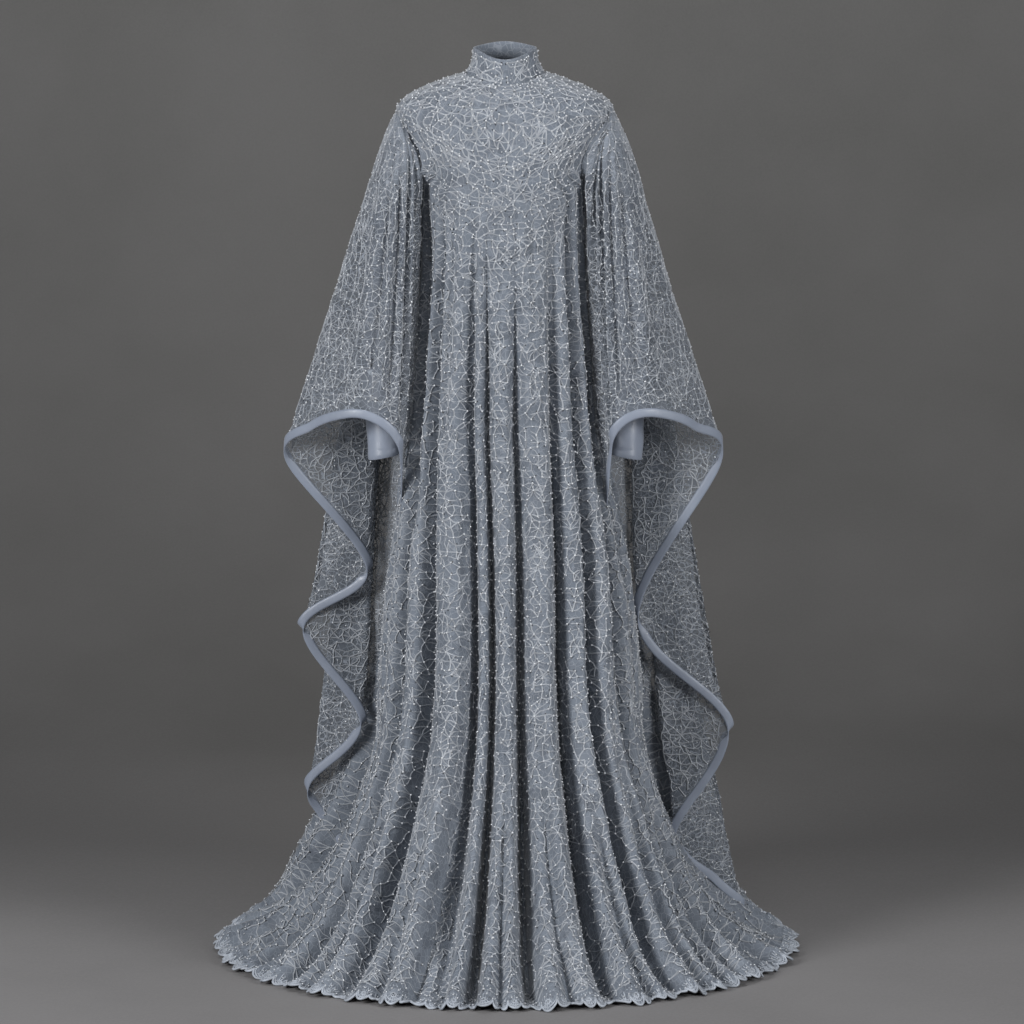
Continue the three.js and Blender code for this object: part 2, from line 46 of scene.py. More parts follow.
# Body sections: heights at front, side and back, six radii, fold, gather, armhole, sway
STATIONS = np.array([0, 45, 85, 108, 128, 180], float)
SECTIONS = np.array([
    [1527, 1545, 1552, 60, 62, 68, 66, 60, 52, 0, 1.7, 0, 0],
    [1508, 1532, 1541, 78, 90, 110, 104, 92, 72, 0, 1.7, 0, 0],
    [1482, 1515, 1523, 91, 115, 150, 142, 120, 88, 0, 1.7, 0, 0],
    [1450, 1497, 1498, 102, 133, 178, 166, 136, 98, 0, 1.7, 0, 0],
    [1415, 1476, 1466, 112, 144, 187, 172, 142, 104, 0, 1.7, 0, 0],
    [1380, 1438, 1428, 119, 146, 172, 160, 142, 109, 0.5, 1.7, 16, 0],
    [1346, 1394, 1386, 124, 143, 156, 148, 136, 112, 1, 1.7, 19, 0],
    [1305, 1346, 1340, 127, 140, 145, 140, 131, 112, 2, 1.7, 0, 0],
    [1240, 1262, 1258, 130, 138, 141, 136, 129, 111, 4, 1.7, 0, 0],
    [1150, 1156, 1154, 132, 139, 142, 138, 130, 112, 7, 1.7, 0, 0],
    [1040, 1040, 1040, 136, 144, 149, 145, 137, 118, 10, 1.7, 0, 0],
    [930, 930, 930, 141, 152, 160, 157, 151, 132, 13, 1.65, 0, 0],
    [810, 810, 810, 150, 169, 179, 177, 174, 155, 17, 1.5, 0, 4],
    [680, 680, 680, 170, 194, 201, 200, 205, 185, 22, 1.3, 0, 7],
    [545, 545, 545, 199, 221, 212, 215, 244, 225, 25, 1.1, 0, 8],
    [410, 410, 410, 234, 252, 218, 232, 292, 270, 27, 1, 0, 8],
    [300, 300, 300, 268, 284, 232, 252, 340, 314, 28, 1, 0, 7],
    [205, 205, 205, 304, 318, 256, 282, 388, 356, 28, 1, 0, 5],
    [130, 130, 130, 344, 354, 292, 318, 428, 396, 27, 1, 0, 4],
    [72, 72, 72, 386, 394, 346, 372, 455, 432, 23, 1, 0, 3],
    [32, 32, 32, 428, 434, 404, 420, 472, 462, 17, 1, 0, 3],
    [11, 11, 11, 460, 464, 450, 458, 484, 480, 11, 1, 0, 3],
    [2.6, 2.6, 2.6, 480, 482, 486, 485, 487, 488, 6, 1, 0, 3],
])
LAST_ROW = len(SECTIONS) - 1

# Folds: the valley where a ridge begins, its height, and where it fades in
FRONT_FOLDS = np.array([
    [-90, 0.6, 800], [-76, 0.7, 1000], [-62, 0.9, 1430], [-49, 0.9, 1400],
    [-36, 1.2, 1440], [-15, 0.5, 1400], [-8, 0.85, 1300], [4.5, 1.15, 1400],
    [22.5, 1.0, 1410], [35, 0.95, 1400], [49, 0.9, 1420], [62, 0.7, 1000], [76, 0.6, 800],
], float)
BACK_FOLDS = np.array([
    [-90, 0.5, 700], [-80, 0.5, 700], [-70, 1.1, 1250], [-54, 1, 1200],
    [-40, 1.1, 1330], [-24, 1, 1280], [-9, 1, 1330], [7, 0.9, 1250],
    [21, 1.1, 1330], [38, 0.9, 1250], [52, 1.1, 1250], [70, 0.5, 700], [80, 0.5, 700],
], float)
FOLD_FADE, FOLD_RISE, DEEPEST = 340.0, 3.0, -34.0
CREST_POWER, VALLEY_REACH, VALLEY_DEPTH = 2.2, 0.3, 1.1

# Creases fade at the side seams over some degrees, and grow stronger down the skirt
SIDE_FADE = 3.0
CREASE_GAIN, GAIN_FROM, GAIN_OVER = 1.1, 650.0, 450.0
CREASE_DRIFT, DRIFT_LENGTH, CREASE_POWER = 0.35, 170.0, 1.6
CREASE_TOP_FADE, CREASE_LOW, CREASE_HIGH = 180.0, -30.0, 60.0
SWELL_FROM, SWELL_OVER = 1500.0, 300.0

# The hem's cloth lies in soft tubes on the floor, and its edge waves
HEM_RIPPLE, RIPPLE_FROM, RIPPLE_OVER = 19.0, 420.0, 300.0
HEM_WAVE, HEM_WAVE_FROM, FLOOR_CLEAR = 4.0, 60.0, 3.0

# Creases, listed one by one: angle, half width in degrees, depth in mm (up is a ridge), top, bottom
FRONT_CREASES = [
    (-29, 3.2, -7, 900, 30), (-23, 3, 4, 760, 30), (-43, 2.4, -6, 620, 30), (-55, 2.6, -7, 560, 20),
    (-69, 2.6, -9, 560, 10), (-83, 2.2, -8, 480, 10), (-65, 1.6, 4, 420, 20), (-75, 1.8, 5, 400, 20),
    (-87, 1.5, 5, 380, 20), (-11.5, 1.8, -4, 1000, 200), (-3, 2.4, -6, 700, 40), (1, 1.8, 4, 560, 60),
    (11, 3, -7, 940, 40), (16, 2.4, 4, 700, 60), (28, 2.6, -6, 760, 40), (42, 2.6, -7, 640, 30),
    (55, 2.6, -7, 600, 20), (68, 2.6, -9, 560, 10), (83, 2.2, -8, 480, 10), (62, 1.6, 4, 420, 20),
    (75, 1.8, 5, 400, 20), (87, 1.5, 5, 380, 20), (-33, 1.4, 3, 480, 80), (32, 1.4, 3, 500, 80),
    (7, 1.4, -3, 420, 60), (-18, 1.6, -5, 520, 40), (47, 1.4, 3, 420, 60), (-65, 5.5, 17, 1500, 760),
    (57, 2.4, -12, 1440, 640), (-58, 1.5, 4, 1450, 900), (-52.5, 1.7, -12, 1450, 820),
    (-44.5, 1.8, -14, 1440, 760), (-40, 1.4, 4, 1400, 900), (-34, 1.7, -12, 1410, 860),
    (-26, 1.8, -9, 1370, 880), (52, 1.5, 4, 1430, 900), (46.5, 1.7, -13, 1440, 800),
    (41, 1.4, 5, 1420, 860), (35.5, 1.7, -13, 1430, 820), (30, 1.3, 5, 1390, 900),
    (25, 1.7, -9, 1380, 880), (17, 1.5, -5, 1300, 900), (-18, 1.5, -4, 1280, 900),
    (-8, 1.6, -3, 1180, 900), (4, 1.6, -3, 1260, 900), (-14, 2.2, -5, 1400, 760),
    (12.5, 2, -5, 1420, 740), (-1, 2.2, -4, 1350, 760), (30, 1.6, -6, 1400, 780),
]
BACK_CREASES = [
    (-62, 3, -8, 760, 20), (-47, 2.8, -8, 700, 20), (-32, 3, -8, 900, 20), (-17, 2.8, -7, 640, 20),
    (-1, 3, -8, 820, 20), (14, 2.8, -7, 700, 20), (29, 3.2, -8, 860, 20), (45, 2.8, -7, 640, 20),
    (60, 3, -8, 720, 20), (-75, 2.4, -8, 500, 10), (75, 2.4, -8, 500, 10), (-84, 2, -7, 460, 10),
    (84, 2, -7, 460, 10), (-27, 1.6, 4, 480, 60), (11, 1.6, 4, 520, 60), (34, 1.6, 4, 460, 60),
    (-55, 1.6, 4, 440, 40), (-64, 2.2, -9, 1430, 560), (64, 2.2, -9, 1430, 560),
    (-45, 1.6, -5, 1380, 880), (-35, 1.6, -4, 1330, 900), (-25, 1.6, -3, 1300, 940),
    (-13, 1.6, -3, 1260, 940), (13, 1.6, -3, 1260, 940), (26, 1.6, -4, 1300, 920),
    (36, 1.6, -4, 1340, 900), (46, 1.6, -5, 1380, 880),
]

# Wing seams: angle on the back panel, rows where they start and where the shoulder runs, and the
# distances of the seams outside the body cloth and of the top edge inside it
BACK_SEAM_ANGLE, SEAM_TOP_ROW, SHOULDER_ROW = 70.0, 3.8, 3.0
WING_STANDOFF, TOP_INSET = 1.6, 0.5
# The wing's cloth stands proud beside its seams
SEAM_PUFF, SHOULDER_PUFF, SHOULDER_PUFF_REACH = 8.5, 2.0, 170.0
PUFF_NEAR, PUFF_FAR, PUFF_START = 1.8, 3.4, 0.35
ARM_LEVEL, ELBOW_LEVEL = 1400.0, 1150.0
# The wing runs straight to its seams over these shares of a rail
FRONT_JOIN, BACK_JOIN = 0.5, 1 / 3
BINDING_WIDTH = 15.5

# Wing rails: x and y at arm level for both wings. For each wing x and y at elbow level and at the
# bound edge, and the edge's height
ARM_RAIL = 6
LAST_RAIL = 12
ARM_LINE = [(163, -66), (176, -71), (191, -66), (204, -52), (214, -28), (220, 0), (216, 36), (205, 54),
            (192, 66), (178, 72), (164, 72)]
WINGS = {
    "left": dict(side=-1, front_seam=74.0, seam_ends=(700, 132), rails=[
        [164, -84, 180, -98, 868], [182, -101, 192, -118, 920], [210, -108, 228, -124, 951],
        [243, -96, 272, -112, 957], [277, -56, 335, -64, 930], [298, 0, 383, 0, 866],
        [224, 60, 243, 42, 664], [252, 76, 357, 64, 554], [206, 92, 256, 72, 384],
        [226, 110, 349, 112, 266], [186, 110, 328, 126, 200],
    ]),
    "right": dict(side=1, front_seam=62.0, seam_ends=(700, 16), rails=[
        [164, -84, 182, -98, 872], [180, -101, 190, -120, 926], [208, -108, 222, -122, 955],
        [241, -96, 268, -108, 957], [273, -56, 328, -64, 930], [293, 0, 377, 0, 862],
        [224, 60, 234, 46, 574], [258, 76, 395, 78, 374], [206, 92, 302, 84, 178],
        [232, 110, 372, 118, 88], [190, 110, 422, 140, 40],
    ]),
}
# Soft wing creases: rail position, half width in rails, depth in mm, top, bottom
WING_CREASES = [
    (0.45, 0.12, 5, 1470, 800), (0.75, 0.14, -8, 1470, 800), (1.05, 0.16, 7, 1470, 820),
    (1.45, 0.18, -10, 1470, 840), (1.85, 0.2, 7, 1470, 860), (2.3, 0.22, -9, 1470, 880),
    (2.8, 0.22, 6, 1450, 890), (3.3, 0.22, -8, 1430, 900), (3.9, 0.28, 5, 1400, 890),
    (4.6, 0.3, -7, 1350, 880), (5.4, 0.3, 5, 1330, 860), (6.4, 0.25, -5, 1330, 600),
    (7.0, 0.3, -8, 1350, 500), (7.6, 0.25, 6, 1350, 480), (8.1, 0.3, -8, 1300, 420),
    (8.7, 0.25, 6, 1300, 350), (9.2, 0.3, -8, 1300, 300), (9.8, 0.25, 6, 1300, 250),
    (10.3, 0.3, -8, 1250, 250), (11.0, 0.25, 6, 1300, 200),
]

# Creases die out near the seams (in rails), below the top and above the edge (in mm)
FRONT_SEAM_CALM, BACK_SEAM_CALM = (0.05, 0.5), (0.2, 1)
TOP_CALM, EDGE_CALM = (0, 70), (15, 110)

# Rings from armhole to wrist: x, y, height, lean in degrees, half width and half depth
SLEEVE_RINGS = np.array([
    [179, 0, 1378, 50, 46, 45], [187, 0, 1352, 28, 39, 43], [194, 0, 1312, 10, 42, 43],
    [199, 2, 1250, 0, 42, 42], [205, 5, 1180, 0, 40, 40], [209, 6, 1110, 0, 38, 38],
    [211, 0, 1050, 0, 36, 36], [212, -12, 990, 0, 34, 34], [212, -27, 935, -4, 31, 31],
    [210, -38, 880, -11, 29, 29],
], float)
# Collar: height above the neck edge, and scale of the neck's width and depth
COLLAR_SECTIONS = np.array([[0.6, 0.985, 0.985], [22, 0.83, 0.9], [43, 0.81, 0.88]])


# Interpolation
def smooth(stations, values, at, level_ends=False):
    """Cubic interpolation of values[..., k] through uneven stations[..., k]."""
    stations, values = np.broadcast_arrays(stations, values)
    count = stations.shape[-1]
    low = np.maximum(np.arange(count) - 1, 0)
    high = np.minimum(np.arange(count) + 1, count - 1)
    slope = (values[..., high] - values[..., low]) / (stations[..., high] - stations[..., low])
    if level_ends:
        slope[..., [0, -1]] = 0
    at = np.asarray(at, float)
    i = np.clip((at[..., None] > stations).sum(-1) - 1, 0, count - 2)
    shape = i.shape

    def pick(array, j):
        return np.take_along_axis(np.broadcast_to(array, shape + (count,)), j[..., None], -1)[..., 0]

    start, end = pick(stations, i), pick(stations, i + 1)
    span = end - start
    t = np.clip((at - start) / span, 0, 1)
    return hermite(t, span, pick(values, i), pick(slope, i), pick(values, i + 1), pick(slope, i + 1))


def hermite(t, span, v0, m0, v1, m1):
    t2, t3 = t * t, t * t * t
    return (2 * t3 - 3 * t2 + 1) * v0 + (t3 - 2 * t2 + t) * span * m0 \
        + (3 * t2 - 2 * t3) * v1 + (t3 - t2) * span * m1


def along_rows(table, row):
    """Rows of a table at fractional row numbers."""
    slopes = np.gradient(table, axis=0)
    i = np.clip(np.floor(row).astype(int), 0, len(table) - 2)
    t = (row - i)[..., None]
    return hermite(t, 1.0, table[i], slopes[i], table[i + 1], slopes[i + 1])


def smoothstep(x, low, high):
    t = np.clip((x - low) / (high - low), 0, 1)
    return t * t * (3 - 2 * t)


def lerp(a, b, t):
    return a + (b - a) * t


def paired(a, b):
    """Two numbers or arrays as arrays of one shape."""
    return np.broadcast_arrays(np.asarray(a, float), np.asarray(b, float))


def unit(v):
    return v / np.maximum(np.linalg.norm(v, axis=-1, keepdims=True), 1e-9)


def run(line):
    """Length along a line of points, 0 at its first point."""
    return np.append(0, np.cumsum(np.linalg.norm(np.diff(line, axis=0), axis=1)))


# Body surface
def fold_lift(folds, angle, height):
    """Round ridges with sharper valleys between them, fading in down the body."""
    valleys = folds[:, 0]
    i = np.clip(np.searchsorted(valleys, angle, side="right") - 1, 0, len(valleys) - 1)
    ends = np.append(valleys[1:], 90.0)
    t = (angle - valleys[i]) / (ends[i] - valleys[i])
    fade = smoothstep(folds[i, 2] - height, 0, FOLD_FADE)
    crest = 1 - np.abs(2 * t - 1) ** CREST_POWER
    near = np.minimum(t, 1 - t)
    trough = 1 - smoothstep(near, 0, VALLEY_REACH)
    return fade * (folds[i, 1] * crest - VALLEY_DEPTH * trough)


def crease_lift(creases, across, height):
    lift = np.zeros(np.broadcast(across, height).shape)
    for middle, width, depth, top, bottom in creases:
        drift = CREASE_DRIFT * width * np.sin(height / DRIFT_LENGTH + middle)
        window = smoothstep(top - height, 0, CREASE_TOP_FADE)
        window = window * smoothstep(height - bottom, CREASE_LOW, CREASE_HIGH)
        lift += depth * window * np.exp(-np.abs((across - middle - drift) / width) ** CREASE_POWER)
    return lift


def ring_point(section, turned, middle):
    """A point of a body section in a direction, 0 in front and 180 behind."""
    around = np.where(turned > 180, 360 - turned, np.abs(turned))
    radius = smooth(STATIONS, section[..., 3:9], around, level_ends=True)
    sin, cos = np.sin(np.radians(turned)), np.cos(np.radians(turned))
    height = middle + (section[..., 1] - middle) * sin ** 2
    return np.stack([radius * sin, -radius * cos, height - SHOULDER], -1)


def body_base(row, angle, front):
    """The plain body at row numbers and panel angles, and how high its folds stand there."""
    row, angle = paired(row, angle)
    s = along_rows(SECTIONS, row)
    gather, armhole, sway = s[..., 10], np.maximum(s[..., 11], 0), s[..., 12]
    share = 1 - (1 - np.minimum(np.abs(angle) / 90, 1)) ** gather
    spread = np.sign(angle) * share * (90 - armhole)
    point = ring_point(s, spread if front else 180 - spread, s[..., 0 if front else 2])
    point[..., 0] += sway
    return point, s[..., 9]


class Sheet:
    """A surface kept as a fine grid of points and normals over two parameters."""

    def __init__(self, a, b, points, sign):
        self.a, self.b, self.points = a, b, points
        self.normals = unit(np.cross(np.gradient(points, axis=1), np.gradient(points, axis=0))) * sign

    def at(self, a, b):
        a, b = paired(a, b)
        rows, columns = self.points.shape[:2]
        x = np.clip((a - self.a[0]) / (self.a[1] - self.a[0]), 0, columns - 1.0001)
        y = np.clip((b - self.b[0]) / (self.b[1] - self.b[0]), 0, rows - 1.0001)
        i, j = y.astype(int), x.astype(int)
        ty, tx = (y - i)[..., None], (x - j)[..., None]

        def mixed(grid):
            upper = lerp(grid[i, j], grid[i, j + 1], tx)
            return lerp(upper, lerp(grid[i + 1, j], grid[i + 1, j + 1], tx), ty)

        return mixed(self.points), unit(mixed(self.normals))


def body_sheet(front):
    """The outside of the body cloth over panel angles and row numbers, and the same half lifted."""
    angle = np.linspace(-90, 90, 721)
    row = np.linspace(0, LAST_ROW, 661)
    sign = -1 if front else 1
    point, fold = body_base(row[:, None], angle[None, :], front)
    normal = Sheet(angle, row, point, sign).normals
    height = point[..., 2] + SHOULDER
    lift = (fold + FOLD_RISE) * fold_lift(FRONT_FOLDS if front else BACK_FOLDS, angle, height)
    edge = smoothstep(90 - np.abs(angle), 0, SIDE_FADE)
    low = smoothstep(height, -25, 25)
    stronger = 1 + CREASE_GAIN * smoothstep(GAIN_FROM - height, 0, GAIN_OVER)
    lift += crease_lift(FRONT_CREASES if front else BACK_CREASES, angle, height) * edge * low * stronger
    lift += soft_noise(point) * edge * smoothstep(SWELL_FROM - height, 0, SWELL_OVER) * low
    lift = np.maximum(lift, DEEPEST)
    half_lifted = Sheet(angle, row, point + normal * lift[..., None] / 2, sign)
    point = point + normal * lift[..., None]
    near_floor = smoothstep(RIPPLE_FROM - height, 0, RIPPLE_OVER) * edge
    turn = angle * 0.45 + 0.8 * np.sin(angle / 9 + front)
    ripple = 2 * np.abs(np.sin(turn)) ** 0.75 - 1 + 0.25 * np.sin(turn * 1.13 + 2)
    flare = unit(normal + [0, 0, 0.6])
    point = point + flare * (near_floor * HEM_RIPPLE * np.maximum(ripple, -0.9))[..., None]
    outward = unit(point * [1, 1, 0])
    near_edge = smoothstep(HEM_WAVE_FROM - height, 0, HEM_WAVE_FROM)
    point = point + outward * (near_edge * HEM_WAVE * ripple * edge)[..., None]
    point[..., 2] = np.maximum(point[..., 2], FLOOR_CLEAR - SHOULDER)
    return Sheet(angle, row, point, sign), half_lifted


def soft_noise(point):
    """Small uneven swells, up to about 1.5 mm."""
    x, y, z = point[..., 0], point[..., 1], point[..., 2]
    return 0.8 * np.sin(x / 23 + 1.7 * np.sin(z / 71)) * np.sin(z / 47 + 1.3 * np.sin(x / 60)) \
        + 0.6 * np.sin(x / 11 + y / 17 + 2 * np.sin(z / 53 + y / 90))


BODY, BODY_HALF = {}, {}
for front in (True, False):
    BODY[front], BODY_HALF[front] = body_sheet(front)


def body(row, angle, front):
    return BODY[front].at(angle, row)[0]


# Wing surface
class Wing:
    """One wing: rails 0 to 12 from the front seam over the arm to the back seam."""

    def __init__(self, side, front_seam, seam_ends, rails):
        self.side = side
        self.steps = np.linspace(SEAM_TOP_ROW - 2, LAST_ROW, 500)
        self.seams = []
        for front, angle in ((True, front_seam), (False, BACK_SEAM_ANGLE)):
            heights = body(self.steps, side * angle, front)[:, 2] + SHOULDER
            self.seams.append((front, side * angle, heights))
        rails = [(*arm, *rail) for arm, rail in zip(ARM_LINE, rails)]
        ends = [self.seam_rail(which, seam_ends[which]) for which in (0, 1)]
        self.rails = np.array([ends[0], *rails, ends[1]], float)
        self.u = np.linspace(0, LAST_RAIL, 721)
        self.edge = smooth(np.arange(LAST_RAIL + 1.0), self.rails[:, 6], self.u)
        self.top = self.top_line()
        self.height = np.linspace(0, 1520, 609)
        point = self.plain(self.height)
        flat = Sheet(self.u, self.height, point, side)
        lift = crease_lift(WING_CREASES, self.u, self.height[:, None]) + 0.8 * soft_noise(point)
        lift *= smoothstep(self.u, *FRONT_SEAM_CALM) * smoothstep(LAST_RAIL - self.u, *BACK_SEAM_CALM)
        below = self.top[:, 2] + SHOULDER - self.height[:, None]
        lift *= smoothstep(below, *TOP_CALM)
        lift *= smoothstep(self.height[:, None] - self.edge, *EDGE_CALM)
        proud = np.sin(np.pi * np.clip(below / SHOULDER_PUFF_REACH, 0, 1) ** 0.8)
        inward = np.minimum(self.u, LAST_RAIL - self.u)
        puff = lerp(SEAM_PUFF, SHOULDER_PUFF, smoothstep(inward, PUFF_NEAR, PUFF_FAR))
        lift += puff * proud * smoothstep(inward, 0, PUFF_START)
        self.sheet = Sheet(self.u, self.height, point + flat.normals * lift[..., None], side)

    def seam_rail(self, which, end):
        values = []
        for height in (ARM_LEVEL, ELBOW_LEVEL, end):
            point = self.seam_point(which, np.array([float(height)]))[0]
            values += [point[0], point[1]]
        return [*values, end]

    def seam_point(self, which, height):
        """On the body at a seam, just outside it; x is measured away from the middle."""
        front, angle, heights = self.seams[which]
        row = np.interp(-height, -heights, self.steps)
        point, normal = BODY[front].at(angle, row)
        return (point + normal * WING_STANDOFF) * [self.side, 1, 1]

    def top_line(self):
        front = self.u <= ARM_RAIL
        share = np.where(front, self.u / ARM_RAIL, (LAST_RAIL - self.u) / (LAST_RAIL - ARM_RAIL))
        eased = share ** 0.8
        row = lerp(SEAM_TOP_ROW, SHOULDER_ROW, eased)
        out = []
        for is_front, seam in ((True, abs(self.seams[0][1])), (False, BACK_SEAM_ANGLE)):
            point, normal = BODY[is_front].at(self.side * lerp(seam, 90.0, eased), row)
            out.append((point - normal * TOP_INSET) * [self.side, 1, 1])
        return np.where(front[:, None], out[0], out[1])

    def plain(self, height):
        """Points over all rail positions and the given heights, without creases."""
        count = len(self.u)
        stations = np.stack([self.edge, np.full(count, ELBOW_LEVEL), np.full(count, ARM_LEVEL),
                             self.top[:, 2] + SHOULDER], -1)
        rail = [smooth(np.arange(LAST_RAIL + 1.0), self.rails[:, k], self.u) for k in range(6)]
        shape = (len(height), count)
        levels = np.broadcast_to(height[:, None], shape)
        x, y = (smooth(stations, np.stack([rail[4 + k], rail[2 + k], rail[k], self.top[:, k]], -1), levels)
                for k in range(2))
        point = np.stack([x, y, levels - SHOULDER], -1)
        first = np.searchsorted(self.u, FRONT_JOIN)
        last = np.searchsorted(self.u, LAST_RAIL - BACK_JOIN)
        for which, join, end in ((0, first, 0), (1, last, count - 1)):
            seam = self.seam_point(which, height)
            fixed = point[:, join].copy()
            for c in range(first) if which == 0 else range(last + 1, count):
                point[:, c] = lerp(seam, fixed, abs(c - end) / abs(join - end))
        return point * [self.side, 1, 1]

    def low(self, u):
        return np.interp(u, self.u, self.edge)

    def high(self, u):
        return np.interp(u, self.u, self.top[:, 2]) + SHOULDER

    def at(self, u, height):
        return self.sheet.at(u, height)


def body_grid(front, rows, columns):
    rows = rows_by_length(front, rows)
    angles = columns_by_length(front, columns)
    return body(rows[:, None], angles[None, :], front)


def even_steps(fine, lines, count):
    """Values of fine at even lengths, by the mean of three lines."""
    length = np.zeros(len(fine))
    for line in lines:
        length += line / 3
    return np.interp(np.linspace(0, length[-1], count), length, fine)


def rows_by_length(front, count, start=0.0):
    """Row numbers at even lengths down the cloth."""
    fine = np.linspace(start, LAST_ROW, 1500)
    return even_steps(fine, [run(body(fine, angle, front)) for angle in (-60.0, 0.0, 60.0)], count)


def columns_by_length(front, count):
    """Panel angles at even lengths round the skirt."""
    fine = np.linspace(-90, 90, 1200)
    lines = [run(body(row, fine, front)) for row in (13.0, 17.0, 20.0)]
    return even_steps(fine, [line / line[-1] for line in lines], count)


# Meshes
scene = bpy.context.scene


def add_object(name, data):
    obj = bpy.data.objects.new(name, data)
    scene.collection.objects.link(obj)
    return obj


def add_mesh(name, points, faces, material):
    """A smooth mesh from points in mm and one array of faces with equal numbers of corners."""
    mesh = bpy.data.meshes.new(name)
    mesh.vertices.add(len(points))
    mesh.vertices.foreach_set("co", (points * MM).ravel())
    mesh.loops.add(faces.size)
    mesh.loops.foreach_set("vertex_index", faces.ravel())
    mesh.polygons.add(len(faces))
    mesh.polygons.foreach_set("loop_start", np.arange(len(faces)) * faces.shape[1])
    mesh.update(calc_edges=True)
    mesh.validate()
    mesh.polygons.foreach_set("use_smooth", np.ones(len(faces), bool))
    mesh.materials.append(material)
    obj = add_object(name, mesh)
    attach(obj, "root")
    return obj


def grid_faces(rows, columns, closed=False, flip=False):
    r, c = np.meshgrid(np.arange(rows - 1), np.arange(columns if closed else columns - 1), indexing="ij")
    c1 = (c + 1) % columns
    quad = np.stack([r * columns + c, r * columns + c1, (r + 1) * columns + c1, (r + 1) * columns + c], -1)
    quad = quad.reshape(-1, 4)
    return quad[:, ::-1] if flip else quad


def add_grid(name, grid, material, closed=False, flip=False):
    faces = grid_faces(*grid.shape[:2], closed, flip)
    return add_mesh(name, grid.reshape(-1, 3), faces, material)


class Gathered:
    """Points and faces of many small parts, joined into one mesh."""

    def __init__(self):
        self.points, self.faces, self.count = [], [], 0

    def add(self, points, faces):
        """Add a part. Its faces count from its own first point."""
        self.points.append(points.reshape(-1, 3))
        self.faces.append(faces.reshape(-1, faces.shape[-1]) + self.count)
        self.count += len(self.points[-1])

    def mesh(self, name, material, slot):
        return add_mesh(name, np.concatenate(self.points), np.concatenate(self.faces), material)


# Embroidery
THREAD_WIDTH, THREAD_HEIGHT, BEAD_RADIUS = 2.1, 1.35, 2.15
# Size of the dark spots of painted shade, and how far beside their nodes they lie
PAINTED_SHADE_SIZE, PAINTED_SHADE_ASIDE = 1.9, 2.9
# Shares of the joints, beads and dark spots of painted shade that are made
JOIN_RIGHT, JOIN_DOWN, JOIN_SLANT, STARS = 0.72, 0.74, 0.26, 0.09
BEADED, FREE_BEADS, PAINTED_SHADE_SHARE = 0.85, 0.33, 0.42
NODE_SCATTER = 0.33
LONGEST_JOINT, SHORTEST_JOINT = 2.7, 2
THREAD_BEND, THREAD_FOOT = 0.17, 0.05


